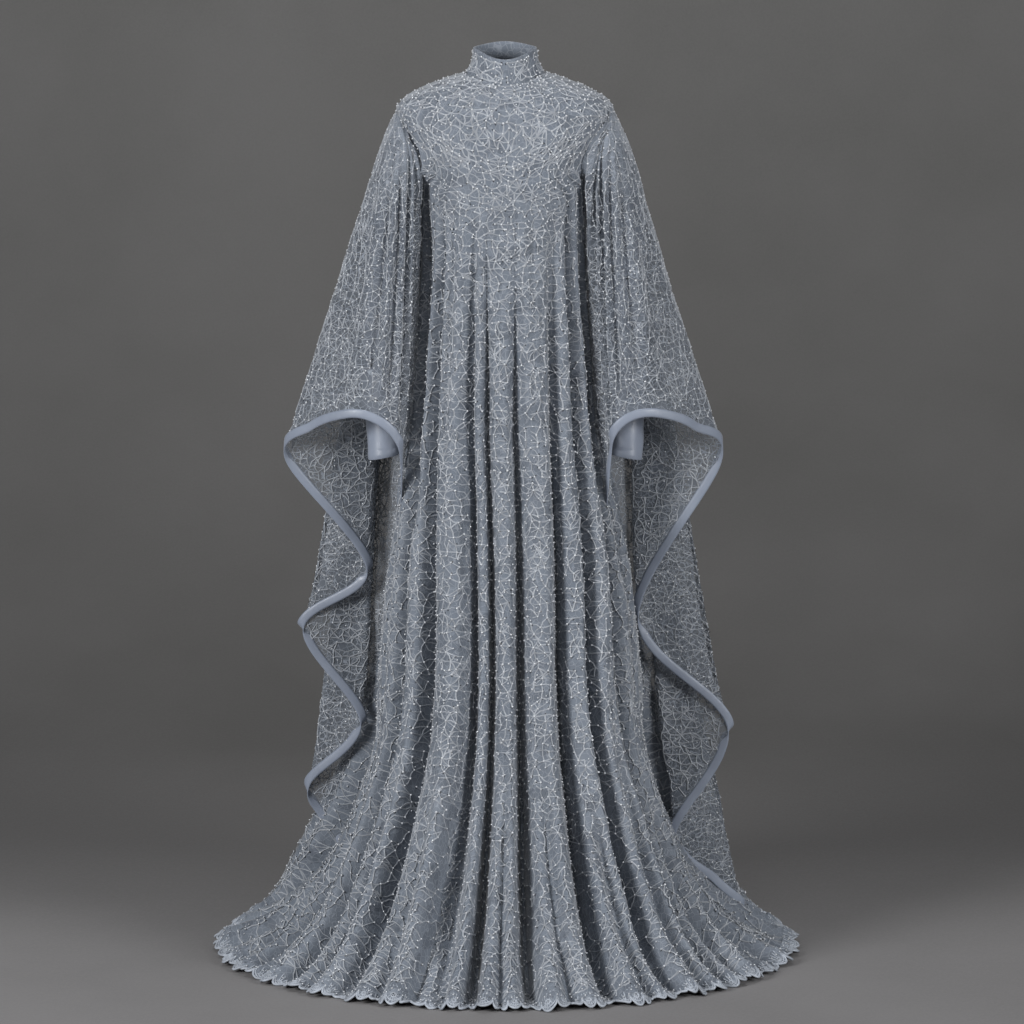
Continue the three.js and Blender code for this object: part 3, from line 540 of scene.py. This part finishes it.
class Net:
    """Threads, beads and dark spots of painted shade gathered over a surface."""

    def __init__(self, seed, under=0.0, rise=0.7):
        self.random = np.random.default_rng(seed)
        self.under, self.rise = under, rise
        self.threads, self.pearls, self.shade_marks = Gathered(), Gathered(), Gathered()

    def stitches(self, stations, normals, width):
        """Threads with a ridge on top: stations[k] holds one point of each thread."""
        count = len(stations[0])
        half = width[:, None] / 2
        rings = []
        for k, (point, normal) in enumerate(zip(stations, normals)):
            before, after = stations[max(k - 1, 0)], stations[min(k + 1, len(stations) - 1)]
            side = unit(np.cross(after - before, normal)) * half
            foot = normal * (THREAD_FOOT - self.under)
            rings += [point + side + foot, point + normal * THREAD_HEIGHT, point - side + foot]
        corner = []
        for k in range(len(stations) - 1):
            a, b = 3 * k, 3 * k + 3
            corner += [[a, b, b + 1, a + 1], [a + 1, b + 1, b + 2, a + 2]]
            if self.under:
                corner.append([a + 2, b + 2, b, a])
        self.threads.add(np.stack(rings, 1), np.arange(count)[:, None, None] * len(rings) + np.array(corner))

    def beads(self, at, normal, radius):
        """Octahedral beads, each turned its own way."""
        count = len(at)
        helper = np.where(np.abs(normal[:, 2:]) < 0.8, [[0, 0, 1.0]], [[1.0, 0, 0]])
        a = unit(np.cross(normal, helper))
        b = np.cross(normal, a)
        turn = self.random.uniform(0, math.pi, count)[:, None]
        r = radius[:, None]
        middle = at + normal * (r * self.rise)
        ring = [middle + r * (a * np.cos(turn + k * math.pi / 2) + b * np.sin(turn + k * math.pi / 2))
                for k in range(4)]
        points = np.stack([*ring, middle + normal * r * 0.9, middle - normal * r * 0.8], 1)
        corner = [[k, (k + 1) % 4, 4] for k in range(4)] + [[(k + 1) % 4, k, 5] for k in range(4)]
        self.pearls.add(points, np.arange(count)[:, None, None] * 6 + np.array(corner))

    def painted_shade_spots(self, at, normal, long):
        """Small dark ovals on the cloth: painted shade for the shadows of raised threads and beads."""
        count = len(at)
        a = unit(np.cross(normal, self.random.normal(size=(count, 3))))
        b = np.cross(normal, a)
        ring = []
        for k in range(6):
            turn = k * math.pi / 3
            ring.append(at + normal * 0.25 + long * (a * math.cos(turn) + 0.6 * b * math.sin(turn)))
        self.shade_marks.add(np.stack(ring, 1), np.arange(count)[:, None] * 6 + np.arange(6))

    def scatter(self, line_at, levels, span, spacing):
        """Nodes at about even lengths on each level: their places along it, and their own levels."""
        across, down = [], []
        step = np.append(np.diff(levels), levels[-1] - levels[-2])
        dense = np.linspace(span[0], span[1], 700)
        for level, gap in zip(levels, step):
            length = run(line_at(dense, level)[0])
            count = max(int(length[-1] / spacing), 3)
            shift = self.random.uniform(-NODE_SCATTER, NODE_SCATTER, count)
            at = (np.arange(count) + 0.5 + shift) / count * length[-1]
            across.append(np.interp(at, length, dense))
            down.append(level + gap * self.random.uniform(-NODE_SCATTER, NODE_SCATTER, count))
        return across, down

    def neighbours(self, across):
        """Pairs of nodes that may be joined, and the chance of each."""
        starts = np.append(0, np.cumsum([len(strip) for strip in across]))
        pairs, chances = [], []
        for k, strip in enumerate(across):
            here = np.arange(starts[k], starts[k + 1])
            pairs.append(np.stack([here[:-1], here[1:]], 1))
            chances.append(np.full(len(here) - 1, JOIN_RIGHT))
            if k + 1 == len(across):
                break
            below = across[k + 1]
            near = np.clip(np.searchsorted(below, strip), 1, len(below) - 1)
            near -= strip - below[near - 1] < below[near] - strip
            for offset, chance in ((0, JOIN_DOWN), (-1, JOIN_SLANT), (1, JOIN_SLANT)):
                other = near + offset
                keep = (other >= 0) & (other < len(below))
                pairs.append(np.stack([here[keep], other[keep] + starts[k + 1]], 1))
                chances.append(np.full(keep.sum(), chance))
        return np.concatenate(pairs), np.concatenate(chances)

    def cover(self, place, levels, span, spacing, valid=None, measure=None):
        """A net of joined nodes. Measure is the surface that their spacing is measured on."""
        rand = self.random
        across, down = self.scatter(measure or place, levels, span, spacing)
        lowest, highest = min(levels[0], levels[-1]), max(levels[0], levels[-1])
        u, v = np.concatenate(across), np.clip(np.concatenate(down), lowest, highest)
        point, normal = place(u, v)
        good = np.ones(len(u), bool) if valid is None else valid(u, v)
        star = rand.random(len(u)) < STARS
        pairs, chances = self.neighbours(across)
        i, j = pairs[:, 0], pairs[:, 1]
        length = np.linalg.norm(point[i] - point[j], axis=1)
        keep = (rand.random(len(i)) < chances) | star[i] | star[j]
        keep &= good[i] & good[j] & (length < LONGEST_JOINT * spacing) & (length > SHORTEST_JOINT)
        i, j, length = i[keep], j[keep], length[keep]
        middle, middle_n = place((u[i] + u[j]) / 2, (v[i] + v[j]) / 2)
        bend = rand.uniform(-THREAD_BEND, THREAD_BEND, len(i)) * length
        middle = middle + unit(np.cross(point[j] - point[i], middle_n)) * bend[:, None]
        width = THREAD_WIDTH * rand.uniform(0.75, 1.3, len(i))
        self.stitches([point[i], middle, point[j]], [normal[i], middle_n, normal[j]], width)
        on = good & (rand.random(len(u)) < BEADED)
        self.beads(point[on], normal[on], BEAD_RADIUS * rand.uniform(0.8, 1.2, on.sum()))
        free = np.flatnonzero(good & (rand.random(len(u)) < FREE_BEADS))
        free = free[free + 1 < len(u)]
        free = free[good[free + 1] & (np.linalg.norm(point[free] - point[free + 1], axis=1) < 2 * spacing)]
        half_u = (u[free] + u[free + 1]) / 2
        half_v = np.clip(v[free] + (levels[1] - levels[0]) * 0.4, lowest, highest)
        if valid is not None:
            inside = valid(half_u, half_v)
            half_u, half_v = half_u[inside], half_v[inside]
        at, at_n = place(half_u, half_v)
        self.beads(at, at_n, BEAD_RADIUS * 0.85 * rand.uniform(0.8, 1.15, len(at)))
        # Dark spots of painted shade beside some nodes, for the shadows of the raised threads and beads
        shaded_at = np.flatnonzero(good & (rand.random(len(u)) < PAINTED_SHADE_SHARE))
        beside = unit(rand.normal(size=(len(shaded_at), 3)))
        beside = unit(beside - normal[shaded_at] * (beside * normal[shaded_at]).sum(-1, keepdims=True))
        self.painted_shade_spots(point[shaded_at] + beside * PAINTED_SHADE_ASIDE, normal[shaded_at], PAINTED_SHADE_SIZE)

    def finish(self, name, slot, thread):
        return [self.threads.mesh(f"threads_{name}", thread, slot),
                self.pearls.mesh(f"beads_{name}", PEARL, slot),
                self.shade_marks.mesh(f"eyelets_{name}", SHADE, slot)]


# Materials
class Nodes:
    """Short calls for building one node material."""

    def __init__(self, name):
        self.material = bpy.data.materials.new(name)
        self.material.use_nodes = True
        self.tree = self.material.node_tree
        self.shader = self.tree.nodes["Principled BSDF"]
        self.coords = self.tree.nodes.new("ShaderNodeTexCoord").outputs["Object"]

    def new(self, kind, **inputs):
        node = self.tree.nodes.new(kind)
        for name, value in inputs.items():
            self.put(node.inputs[name.replace("_", " ")], value)
        return node

    def put(self, socket, value):
        """Link a socket or set its value."""
        if isinstance(value, bpy.types.NodeSocket):
            self.tree.links.new(value, socket)
        else:
            socket.default_value = value

    def noise(self, scale, detail, rough=0.5, output="Fac"):
        node = self.new("ShaderNodeTexNoise", Scale=scale, Detail=detail, Roughness=rough, Vector=self.coords)
        return node.outputs[output]

    def voronoi(self, scale, feature, vector, output):
        node = self.tree.nodes.new("ShaderNodeTexVoronoi")
        node.feature = feature
        self.put(node.inputs["Scale"], scale)
        self.put(node.inputs["Vector"], vector)
        return node.outputs[output]

    def range(self, value, low, high, to_low=0.0, to_high=1.0):
        return self.new("ShaderNodeMapRange", Value=value, From_Min=low, From_Max=high, To_Min=to_low,
                        To_Max=to_high).outputs[0]

    def math(self, operation, a, b):
        node = self.tree.nodes.new("ShaderNodeMath")
        node.operation = operation
        self.put(node.inputs[0], a)
        self.put(node.inputs[1], b)
        return node.outputs[0]

    def mix(self, factor, a, b):
        node = self.tree.nodes.new("ShaderNodeMix")
        node.data_type = "RGBA"
        for index, value in ((0, factor), (6, a), (7, b)):
            self.put(node.inputs[index], value)
        return node.outputs[2]

    def bump(self, height, distance, strength):
        return self.new("ShaderNodeBump", Distance=distance, Strength=strength, Height=height).outputs[0]

    def shade(self, **inputs):
        for name, value in inputs.items():
            self.put(self.shader.inputs[name.replace("_", " ")], value)


def rgb(r, g, b):
    return (r, g, b, 1.0)


# Heights in metres between which the tulle changes from sheer to lined
LINED_FROM_TO = (-0.34, -0.08)


def cloth_material(name, ground, light, dark, sheer=None):
    """Crepe, tulle or lace with drawn patches and fine threads. Sheer is its least cover."""
    n = Nodes(name)
    drift = n.noise(34.0, 2.0, output="Color")
    bent = n.new("ShaderNodeVectorMath")
    bent.operation = "MULTIPLY_ADD"
    for index, value in enumerate((drift, (0.012, 0.012, 0.012), n.coords)):
        n.put(bent.inputs[index], value)
    bent = bent.outputs[0]
    patches = n.voronoi(44.0, "F1", bent, "Color")
    tone = n.new("ShaderNodeSeparateColor", Color=patches).outputs[0]
    broad = n.noise(7.0, 4.0)
    colour = n.mix(n.range(broad, 0.3, 0.7), ground, light)
    colour = n.mix(n.range(tone, 0.55, 1.0, 0.0, 0.75), colour, dark)
    colour = n.mix(n.range(tone, 0.0, 0.25, 0.6, 0.0), colour, light)
    lines = n.voronoi(95.0, "DISTANCE_TO_EDGE", bent, "Distance")
    thread = n.range(lines, 0.02, 0.07, 1.0, 0.0)
    colour = n.mix(n.math("MULTIPLY", thread, 0.22), colour, rgb(0.42, 0.45, 0.5))
    weave = n.noise(1500.0, 2.0, 0.7)
    colour = n.mix(n.range(weave, 0.3, 0.7, 0.0, 0.28), colour, dark)
    height = n.math("ADD", n.math("MULTIPLY", thread, 0.5), n.math("MULTIPLY", weave, 0.35))
    height = n.math("ADD", height, n.math("MULTIPLY", tone, 0.25))
    rough = n.range(n.math("ADD", tone, thread), 0.0, 2.0, 0.78, 0.5)
    normal = n.bump(height, 0.0007, 0.8)
    settings = dict(Base_Color=colour, Roughness=rough, Normal=normal, Sheen_Weight=0.35,
                    Sheen_Roughness=0.4)
    if sheer:
        clear = n.range(n.math("MAXIMUM", thread, n.range(tone, 0.7, 0.9, 0.0, 0.5)), 0.0, 1.0, sheer, 1.0)
        up = n.new("ShaderNodeSeparateXYZ", Vector=n.coords).outputs[2]
        settings["Alpha"] = n.math("MAXIMUM", clear, n.range(up, *LINED_FROM_TO))
    n.shade(**settings)
    return n.material


def thread_material(name, base):
    n = Nodes(name)
    tint = n.noise(60.0, 2.0)
    twist = n.noise(2600.0, 1.0)
    colour = n.mix(n.range(tint, 0.35, 0.65), base, tuple(c * 0.72 for c in base[:3]) + (1.0,))
    n.shade(Base_Color=colour, Roughness=n.range(twist, 0.3, 0.7, 0.35, 0.55),
            Normal=n.bump(twist, 0.0002, 0.6), Sheen_Weight=0.2, Sheen_Roughness=0.3)
    return n.material


def bead_material(name):
    n = Nodes(name)
    tint = n.noise(230.0, 1.0)
    colour = n.mix(n.range(tint, 0.3, 0.7), rgb(0.64, 0.66, 0.69), rgb(0.47, 0.49, 0.525))
    n.shade(Base_Color=colour, Roughness=n.range(tint, 0.3, 0.7, 0.18, 0.32), Coat_Weight=0.4,
            Coat_Roughness=0.1)
    return n.material


def satin_material(name, base, dark):
    n = Nodes(name)
    broad = n.noise(14.0, 3.0)
    fine = n.noise(2200.0, 2.0)
    slub = n.noise(160.0, 2.0)
    colour = n.mix(n.range(broad, 0.3, 0.7), base, dark)
    colour = n.mix(n.range(fine, 0.3, 0.7, 0.0, 0.2), colour, dark)
    height = n.math("ADD", fine, n.math("MULTIPLY", slub, 0.8))
    n.shade(Base_Color=colour, Roughness=n.range(slub, 0.3, 0.7, 0.3, 0.44),
            Normal=n.bump(height, 0.00025, 0.6), Sheen_Weight=0.25, Sheen_Roughness=0.35)
    return n.material


def floor_material(name, base, dark, far):
    n = Nodes(name)
    blotch = n.noise(1.3, 5.0, 0.6)
    grain = n.noise(220.0, 2.0)
    # Painted shade: the floor darkens from its base colour to the far colour towards the back and up the
    # sweep
    away = n.new("ShaderNodeSeparateXYZ", Vector=n.coords).outputs[1]
    base = n.mix(n.range(away, 0.1, 1.5), base, far)
    n.shade(Base_Color=n.mix(n.range(blotch, 0.35, 0.65, 0.0, 0.35), base, dark),
            Roughness=n.range(grain, 0.3, 0.7, 0.6, 0.75), Normal=n.bump(grain, 0.0003, 0.3))
    return n.material


CREPE = cloth_material("embroidered_crepe", rgb(0.109, 0.13, 0.163), rgb(0.155, 0.179, 0.216),
                       rgb(0.07, 0.084, 0.108))
TULLE = cloth_material("embroidered_tulle", rgb(0.138, 0.162, 0.198), rgb(0.19, 0.216, 0.256),
                       rgb(0.085, 0.1, 0.126), sheer=0.4)
# Near-black satin for the dark spots of painted shade
SHADE = satin_material("painted_shade_dark", rgb(0.012, 0.015, 0.02), rgb(0.02, 0.024, 0.03))
THREAD = thread_material("pale_thread", rgb(0.305, 0.327, 0.362))
PEARL = bead_material("pearl_bead")
SATIN = satin_material("satin", rgb(0.238, 0.27, 0.334), rgb(0.184, 0.211, 0.268))
LACE = cloth_material("hem_lace", rgb(0.12, 0.142, 0.175), rgb(0.17, 0.195, 0.235), rgb(0.07, 0.084, 0.108))
CORD = thread_material("hem_cord", rgb(0.36, 0.395, 0.45))

# Body cloth
cloth_front = add_grid("cloth_front", body_grid(True, 150, 228), CREPE)
cloth_back = add_grid("cloth_back", body_grid(False, 124, 190), CREPE, flip=True)
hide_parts("front")
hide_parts("back")

# Levels and spacing of each panel's net, and flat size and area of its cut
PANELS = {
    "front": dict(levels=133, spacing=12.9, flat=(2.1, 1.56), area=2.25),
    "back": dict(levels=120, spacing=15.6, flat=(2.1, 1.58), area=2.05),
}
for name, panel in PANELS.items():
    front = name == "front"
    net = Net(SEED + front)
    levels = rows_by_length(front, panel["levels"], 0.1)
    net.cover(BODY[front].at, levels[:-1], (-89, 89), panel["spacing"], measure=BODY_HALF[front].at)
    trims = net.finish(name, "embroidered_crepe", THREAD)

# Wings
wings = {name: Wing(**table) for name, table in WINGS.items()}
WING_GRID_ROWS, WING_GRID_COLUMNS = 88, 100
WING_LEVELS, WING_SPACING = np.arange(1499.0, 20.0, -12.6), 14.3
# The net keeps clear of the wing's top and edge, in mm, and of its seams, in rails
CLEAR_TOP, CLEAR_EDGE, CLEAR_SEAM = 1, 20, 0.12


def wing_grid(wing, start, end):
    u = np.linspace(start, end, WING_GRID_COLUMNS)
    high, low = wing.high(u), wing.low(u) + 1.0
    share = np.linspace(0, 1, WING_GRID_ROWS)[:, None] ** 1.15
    height = lerp(high, low, share)
    return wing.at(u, height)[0]


BINDING_STATIONS, BINDING_ACROSS = 380, 5


def binding_grid(wing):
    """A folded strip over the edge: round a small flat loop at each station."""
    u = np.linspace(0.02, LAST_RAIL - 0.02, 3000)
    edge = wing.at(u, wing.low(u))[0]
    length = run(edge)
    at = np.linspace(0, length[-1], BINDING_STATIONS)
    u = np.interp(at, length, u)
    edge, normal = wing.at(u, wing.low(u))
    tangent = unit(np.gradient(edge, axis=0))
    normal = unit(normal - tangent * (normal * tangent).sum(-1, keepdims=True))
    inward = np.cross(tangent, normal)
    inward *= np.where(inward[:, 2:] < 0, -1, 1)
    loop = []
    for side, steps in ((1, range(BINDING_ACROSS + 1)), (-1, range(BINDING_ACROSS, -1, -1))):
        for k in steps:
            across = k / BINDING_ACROSS
            loop.append((across, side * (0.7 + 0.9 * math.sin(math.pi * across) ** 0.6)))
    grid = [edge + inward * (across * BINDING_WIDTH - 1) + normal * out for across, out in loop]
    return np.stack(grid, 1)


for name, wing in wings.items():
    flip = wing.side < 0
    front = add_grid(f"cloth_wing_front_{name}", wing_grid(wing, 0, ARM_RAIL), TULLE,
                     flip=flip)
    back = add_grid(f"cloth_wing_back_{name}", wing_grid(wing, ARM_RAIL, LAST_RAIL), TULLE,
                    flip=flip)
    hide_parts(f"wing_front_{name}")
    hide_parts(f"wing_back_{name}")
    binding = add_grid(f"satin_binding_{name}", binding_grid(wing), SATIN, closed=True,
                       flip=not flip)
    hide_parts(f"binding_{name}")

    net = Net(SEED + 10 + wing.side, under=0.9, rise=0.15)

    def on_wing(u, height, wing=wing):
        inside = (height < wing.high(u) - CLEAR_TOP) & (height > wing.low(u) + CLEAR_EDGE)
        return inside & (u > CLEAR_SEAM) & (u < LAST_RAIL - CLEAR_SEAM)

    net.cover(wing.at, WING_LEVELS, (0, LAST_RAIL), WING_SPACING, valid=on_wing)
    trims = net.finish(f"wing_{name}", "embroidered_tulle", THREAD)

# Under-sleeves
SLEEVE_SIDES, SLEEVE_ROWS = 48, 72
# Rings turned inside the cuff: how far up and how far in
CUFF_LIP = ((-0.8, 0.8), (0.2, 1.6), (9, 2.0), (18, 1.8))


def armhole_ring(side):
    rows = np.linspace(4, 7, 60)
    out = []
    for front in (True, False):
        line = body(rows, side * 90.0, front)
        length = run(line)
        out.append((line, length / length[-1]))
    ring = []
    half = SLEEVE_SIDES // 2
    for i in range(SLEEVE_SIDES):
        share = min(i, SLEEVE_SIDES - i) / half
        line, length = out[i > half]
        ring.append([np.interp(share, length, line[:, k]) for k in range(3)])
    return np.array(ring) + [side * 0.6, 0, 0]


def sleeve_grid(side):
    turn = 2 * np.pi * np.arange(SLEEVE_SIDES) / SLEEVE_SIDES
    rings = [armhole_ring(side)]
    for x, y, height, lean, across, deep in SLEEVE_RINGS:
        out = across * np.cos(turn)
        lean = math.radians(lean)
        rings.append(np.stack([side * (x + out * math.cos(lean)), y - deep * np.sin(turn),
                               height + out * math.sin(lean) - SHOULDER], -1))
    at = np.linspace(0, len(rings) - 1, SLEEVE_ROWS)
    grid = along_rows(np.array(rings).reshape(len(rings), -1), at).reshape(SLEEVE_ROWS, SLEEVE_SIDES, 3)
    radial = unit(grid - grid.mean(axis=1, keepdims=True))
    height = grid[..., 2] + SHOULDER
    wave = 1.5 * np.sin(height / 13 + 1.8 * np.sin(turn + side) + turn) * np.sin(height / 61 + turn)
    wave += 1.2 * np.sin(3 * turn + height / 90)
    wave *= smoothstep(at, 1.5, 3)[:, None] * smoothstep(10 - at, 0.0, 0.8)[:, None]
    grid = grid + radial * wave[..., None]
    lip = [grid[-1] + [0, 0, up] - radial[-1] * inward for up, inward in CUFF_LIP]
    return np.concatenate([grid, lip])


for name, wing in wings.items():
    sleeve = add_grid(f"satin_sleeve_{name}", sleeve_grid(wing.side), SATIN, closed=True,
                      flip=wing.side < 0)
    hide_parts(f"under_sleeve_{name}")

# Collar
COLLAR_SIDES = 180
COLLAR_LEVELS, COLLAR_SPACING = np.arange(3.0, 41, 11.5), 13


def neck_ring(turned):
    """The neck edge by direction, 0 in front and 180 behind."""
    in_front = np.cos(np.radians(turned)) > 0
    return ring_point(SECTIONS[0], turned, np.where(in_front, SECTIONS[0, 0], SECTIONS[0, 2]))


def collar_sheet():
    turned = np.linspace(0, 360, 721)
    rise = np.linspace(-2, 43, 91)
    edge = neck_ring(turned % 360)
    width, depth = (smooth(COLLAR_SECTIONS[:, 0], COLLAR_SECTIONS[:, k], rise) for k in (1, 2))
    scale = np.stack([width, depth, np.ones_like(rise)], -1)[:, None]
    lift = np.stack([np.zeros_like(rise), np.zeros_like(rise), rise], -1)[:, None]
    return Sheet(turned, rise, edge * scale + lift, 1)


COLLAR = collar_sheet()
turns = np.arange(COLLAR_SIDES) * 360 / COLLAR_SIDES
outer, out_normal = COLLAR.at(turns, np.linspace(-1.5, 43, 14)[:, None])
inner = outer - out_normal * 2.0
lip = outer[-1:] - out_normal[-1:] * 1.0 + [0, 0, 0.8]
collar = add_grid("cloth_collar", np.concatenate([outer, lip, inner[::-1]]), CREPE,
                  closed=True)
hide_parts("collar")
net = Net(SEED + 40)
net.cover(COLLAR.at, COLLAR_LEVELS, (0, 359.9), COLLAR_SPACING)
trims = net.finish("collar", "embroidered_crepe", THREAD)

# Hem lace: its depth from the cloth to the tips, and to the notches between them
LACE_WIDTH, NOTCH = 26.0, 14.0
LACE_STEPS, LACE_ROWS = 8, 6
LACE_OVERLAP = 3.0
LEAST_SCALLOP, MOST_SCALLOP, LEAST_REST = 23, 37, 18
LEAST_REACH, MOST_REACH = 0.86, 1.06
# The two faces left out of each scallop's grid, as its eyelet
EYELET_FACES = [3 * LACE_STEPS + 3, 3 * LACE_STEPS + 4]
# Cords along a scallop: distance from its edge, and radius
CORDS = ((0.0, 2.3), (4.8, 1.4))
OVAL_CORD, CORD_SIDES = 1.5, 4
# Dark spots of painted shade and beads of a scallop: share of its length, and mm from the hem. Then its
# stitches
LACE_PAINTED_SHADE = np.array([[0.0, 0.22, 0.78], [13.0, 8.0, 8.5]])
LACE_BEADS = np.array([[0.02, 0.32, 0.68], [9.0, 4.0, 5.0]])
SPOKES = np.array([0.12, 0.3, 0.5, 0.7, 0.88])
LACE_PAINTED_SHADE_SIZE, LACE_BEAD_RADIUS, SPOKE_WIDTH = 2.4, 1.9, 2.2
UP = np.array([0, 0, 1.0])


def tube(path, radius):
    """Rings of a round cord along a path."""
    tangent = unit(np.gradient(path, axis=0))
    side = unit(np.cross(tangent, UP))
    up = np.cross(side, tangent)
    turn = 2 * np.pi * np.arange(CORD_SIDES) / CORD_SIDES
    ring = side[:, None] * np.cos(turn)[:, None] + up[:, None] * np.sin(turn)[:, None]
    return path[:, None] + ring * radius


class Lace:
    """The lace of one panel: cloth with eyelet holes, cords round its scallops, stitches, beads and dark
    spots of painted shade.
    """

    def __init__(self, name, front):
        self.name = name
        self.random = np.random.default_rng(SEED + 60 + front)
        self.line = body(float(LAST_ROW), np.linspace(-90, 90, 2400), front)
        self.length = run(self.line)
        self.cloth, self.cords, self.net = Gathered(), Gathered(), Net(SEED + 80 + front)
        total = self.length[-1]
        bounds = [0.0]
        while bounds[-1] < total - LEAST_REST:
            bounds.append(bounds[-1] + self.random.uniform(LEAST_SCALLOP, MOST_SCALLOP))
        bounds = np.array(bounds) * total / bounds[-1]
        reach = self.random.uniform(LEAST_REACH, MOST_REACH, len(bounds) - 1) * (LACE_WIDTH - NOTCH)
        for start, end, far in zip(bounds[:-1], bounds[1:], reach):
            self.scallop(start, end, far)

    def at(self, along, out):
        """On the lace: along mm of the hem, out mm from it, drooping to the floor."""
        along, out = paired(along, out)
        point = np.stack([np.interp(along, self.length, self.line[:, k]) for k in range(3)], -1)
        outward = unit(point * [1, 1, 0])
        side = np.stack([-outward[..., 1], outward[..., 0], np.zeros_like(along)], -1)
        share = np.clip(out / LACE_WIDTH, 0, 1)
        ruffle = 1.8 * np.sin(along / 17 + np.sin(along / 83)) + 1.4 * np.sin(along / 41)
        height = lerp(point[..., 2] + SHOULDER + 0.6, 5.0 + 2.0 * ruffle, share ** 1.2)
        wander = 2.5 * np.sin(along / 29 + 1.5 * np.sin(along / 70))
        point = point + outward * (out * (1 - 0.04 * np.sin(along / 60)))[..., None]
        point = point + side * (wander * share)[..., None]
        point[..., 2] = np.maximum(height, 1.1) - SHOULDER
        return point

    def cord(self, path, lift, radius):
        ring = tube(path + [0, 0, lift], radius)
        self.cords.add(ring, grid_faces(*ring.shape[:2], closed=True))

    def scallop(self, start, end, far):
        def edge(share):
            return NOTCH + far * np.sin(np.pi * share) ** 0.62

        def on(share, out):
            return self.at(lerp(start, end, share), out)

        share = np.linspace(0, 1, LACE_STEPS + 1)
        rows = np.linspace(0, 1, LACE_ROWS + 1)[:, None]
        grid = on(share, lerp(-LACE_OVERLAP, edge(share), rows))
        self.cloth.add(grid, np.delete(grid_faces(*grid.shape[:2]), EYELET_FACES, axis=0))

        fine = np.linspace(0, 1, 13)
        for inset, radius in CORDS:
            self.cord(on(fine, edge(fine) - inset), radius - 1.0, radius)
        turn = np.linspace(0, 2 * np.pi, 11)
        along = lerp(start, end, 0.5) + (end - start) * 0.15 * np.cos(turn)
        out = lerp(-LACE_OVERLAP, NOTCH + far, 0.585) + 3.0 * np.sin(turn)
        self.cord(self.at(along, out), 0.7, OVAL_CORD)

        # Dark ovals of painted shade, for the shadow under the lace seen through its openings
        dark = on(*LACE_PAINTED_SHADE)
        self.net.painted_shade_spots(dark + [0, 0, 0.4], np.broadcast_to(UP, dark.shape), LACE_PAINTED_SHADE_SIZE)
        tip = on(SPOKES, edge(SPOKES) - 1)
        root = on(0.5 + (SPOKES - 0.5) * 0.45, lerp(-LACE_OVERLAP, NOTCH + far, 0.6))
        base = on(SPOKES, -2.0)
        up = np.broadcast_to(UP, tip.shape)
        for ends in ([root, tip], [base, root]):
            self.net.stitches(ends, [up, up], np.full(len(SPOKES), SPOKE_WIDTH))
        share, out = LACE_BEADS
        bead = on(share, out + self.random.uniform(-2, 2, 3))
        self.net.beads(bead, np.broadcast_to(UP, bead.shape), np.full(len(bead), LACE_BEAD_RADIUS))

    def finish(self):
        lace = self.cloth.mesh(f"lace_hem_{self.name}", LACE, "hem_lace")
        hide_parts(f"hem_lace_{self.name}")
        cords = self.cords.mesh(f"lace_cord_{self.name}", CORD, "hem_lace")
        trims = self.net.finish(f"lace_{self.name}", "hem_lace", CORD)


for side_name, front in (("front", True), ("back", False)):
    Lace(side_name, front).finish()

# Floor, light and camera
# Base, blotch and far colours of the floor; the far colour is painted shade towards the back and up the sweep
FLOOR = floor_material("pale_floor", rgb(0.2, 0.195, 0.198), rgb(0.13, 0.127, 0.128),
                       rgb(0.082, 0.0805, 0.079))
FLOOR_FRONT, FLOOR_SIDE, FLOOR_STRIPS = -9, 6, 25
SWEEP_START, SWEEP_RADIUS, SWEEP_END = 0.9, 2.4, 1.2


def add_floor():
    """A floor that curves up behind the garment, in metres."""
    profile = [(FLOOR_FRONT, FLOOR_Z)]
    for t in np.linspace(0, SWEEP_END, 40):
        profile.append((SWEEP_START + SWEEP_RADIUS * math.sin(t), FLOOR_Z + SWEEP_RADIUS * (1 - math.cos(t))))
    grid = [(x, y, z) for y, z in profile for x in np.linspace(-FLOOR_SIDE, FLOOR_SIDE, FLOOR_STRIPS)]
    faces = grid_faces(len(profile), FLOOR_STRIPS)
    mesh = bpy.data.meshes.new("floor")
    mesh.from_pydata(grid, [], faces.tolist())
    mesh.polygons.foreach_set("use_smooth", np.ones(len(faces), bool))
    mesh.materials.append(FLOOR)
    add_object("floor", mesh)


add_floor()

# Soft lights: name, place, what it points at, size in metres and power in watts
LIGHTS = [
    ("key", (-3.6, -3.5, 0.9), (0, 0, -0.6), 1.8, 258),
    ("fill", (3.7, -3.3, 0.7), (0, 0, -0.65), 2.0, 176),
    ("front", (-0.4, -5.0, 0.5), (0, 0, -0.8), 1.6, 22),
    ("top", (0.2, -0.9, 3.2), (0, 0, -0.8), 1.4, 22),
    ("wall", (0, 0.2, 2.6), (0, 3.3, 0.9), 1.2, 40),
]
for name, location, target, size, power in LIGHTS:
    light = bpy.data.lights.new(name, "AREA")
    light.shape = "DISK"
    light.size = size
    light.energy = power
    obj = add_object(name, light)
    obj.location = location
    obj.rotation_euler = (Vector(target) - Vector(location)).to_track_quat("-Z", "Y").to_euler()

world = bpy.data.worlds.new("studio")
world.use_nodes = True
background = world.node_tree.nodes["Background"]
background.inputs["Color"].default_value = (0.5, 0.51, 0.53, 1)
background.inputs["Strength"].default_value = 0.085
scene.world = world

# A long lens 10 m away, fitted to the photo. The picture spans 1024 pixels
FOCAL_PIXELS, HALF_PICTURE = 5776, 512
CAMERA_PITCH = 8.5
camera_data = bpy.data.cameras.new("camera")
camera_data.angle = 2 * math.atan(HALF_PICTURE / FOCAL_PIXELS)
camera_data.clip_end = 60
camera = add_object("camera", camera_data)
camera.location = (0.012, -10.0, 0.75)
camera.rotation_euler = (math.radians(90 - CAMERA_PITCH), 0, 0)
scene.camera = camera
scene.view_settings.view_transform = "Standard"
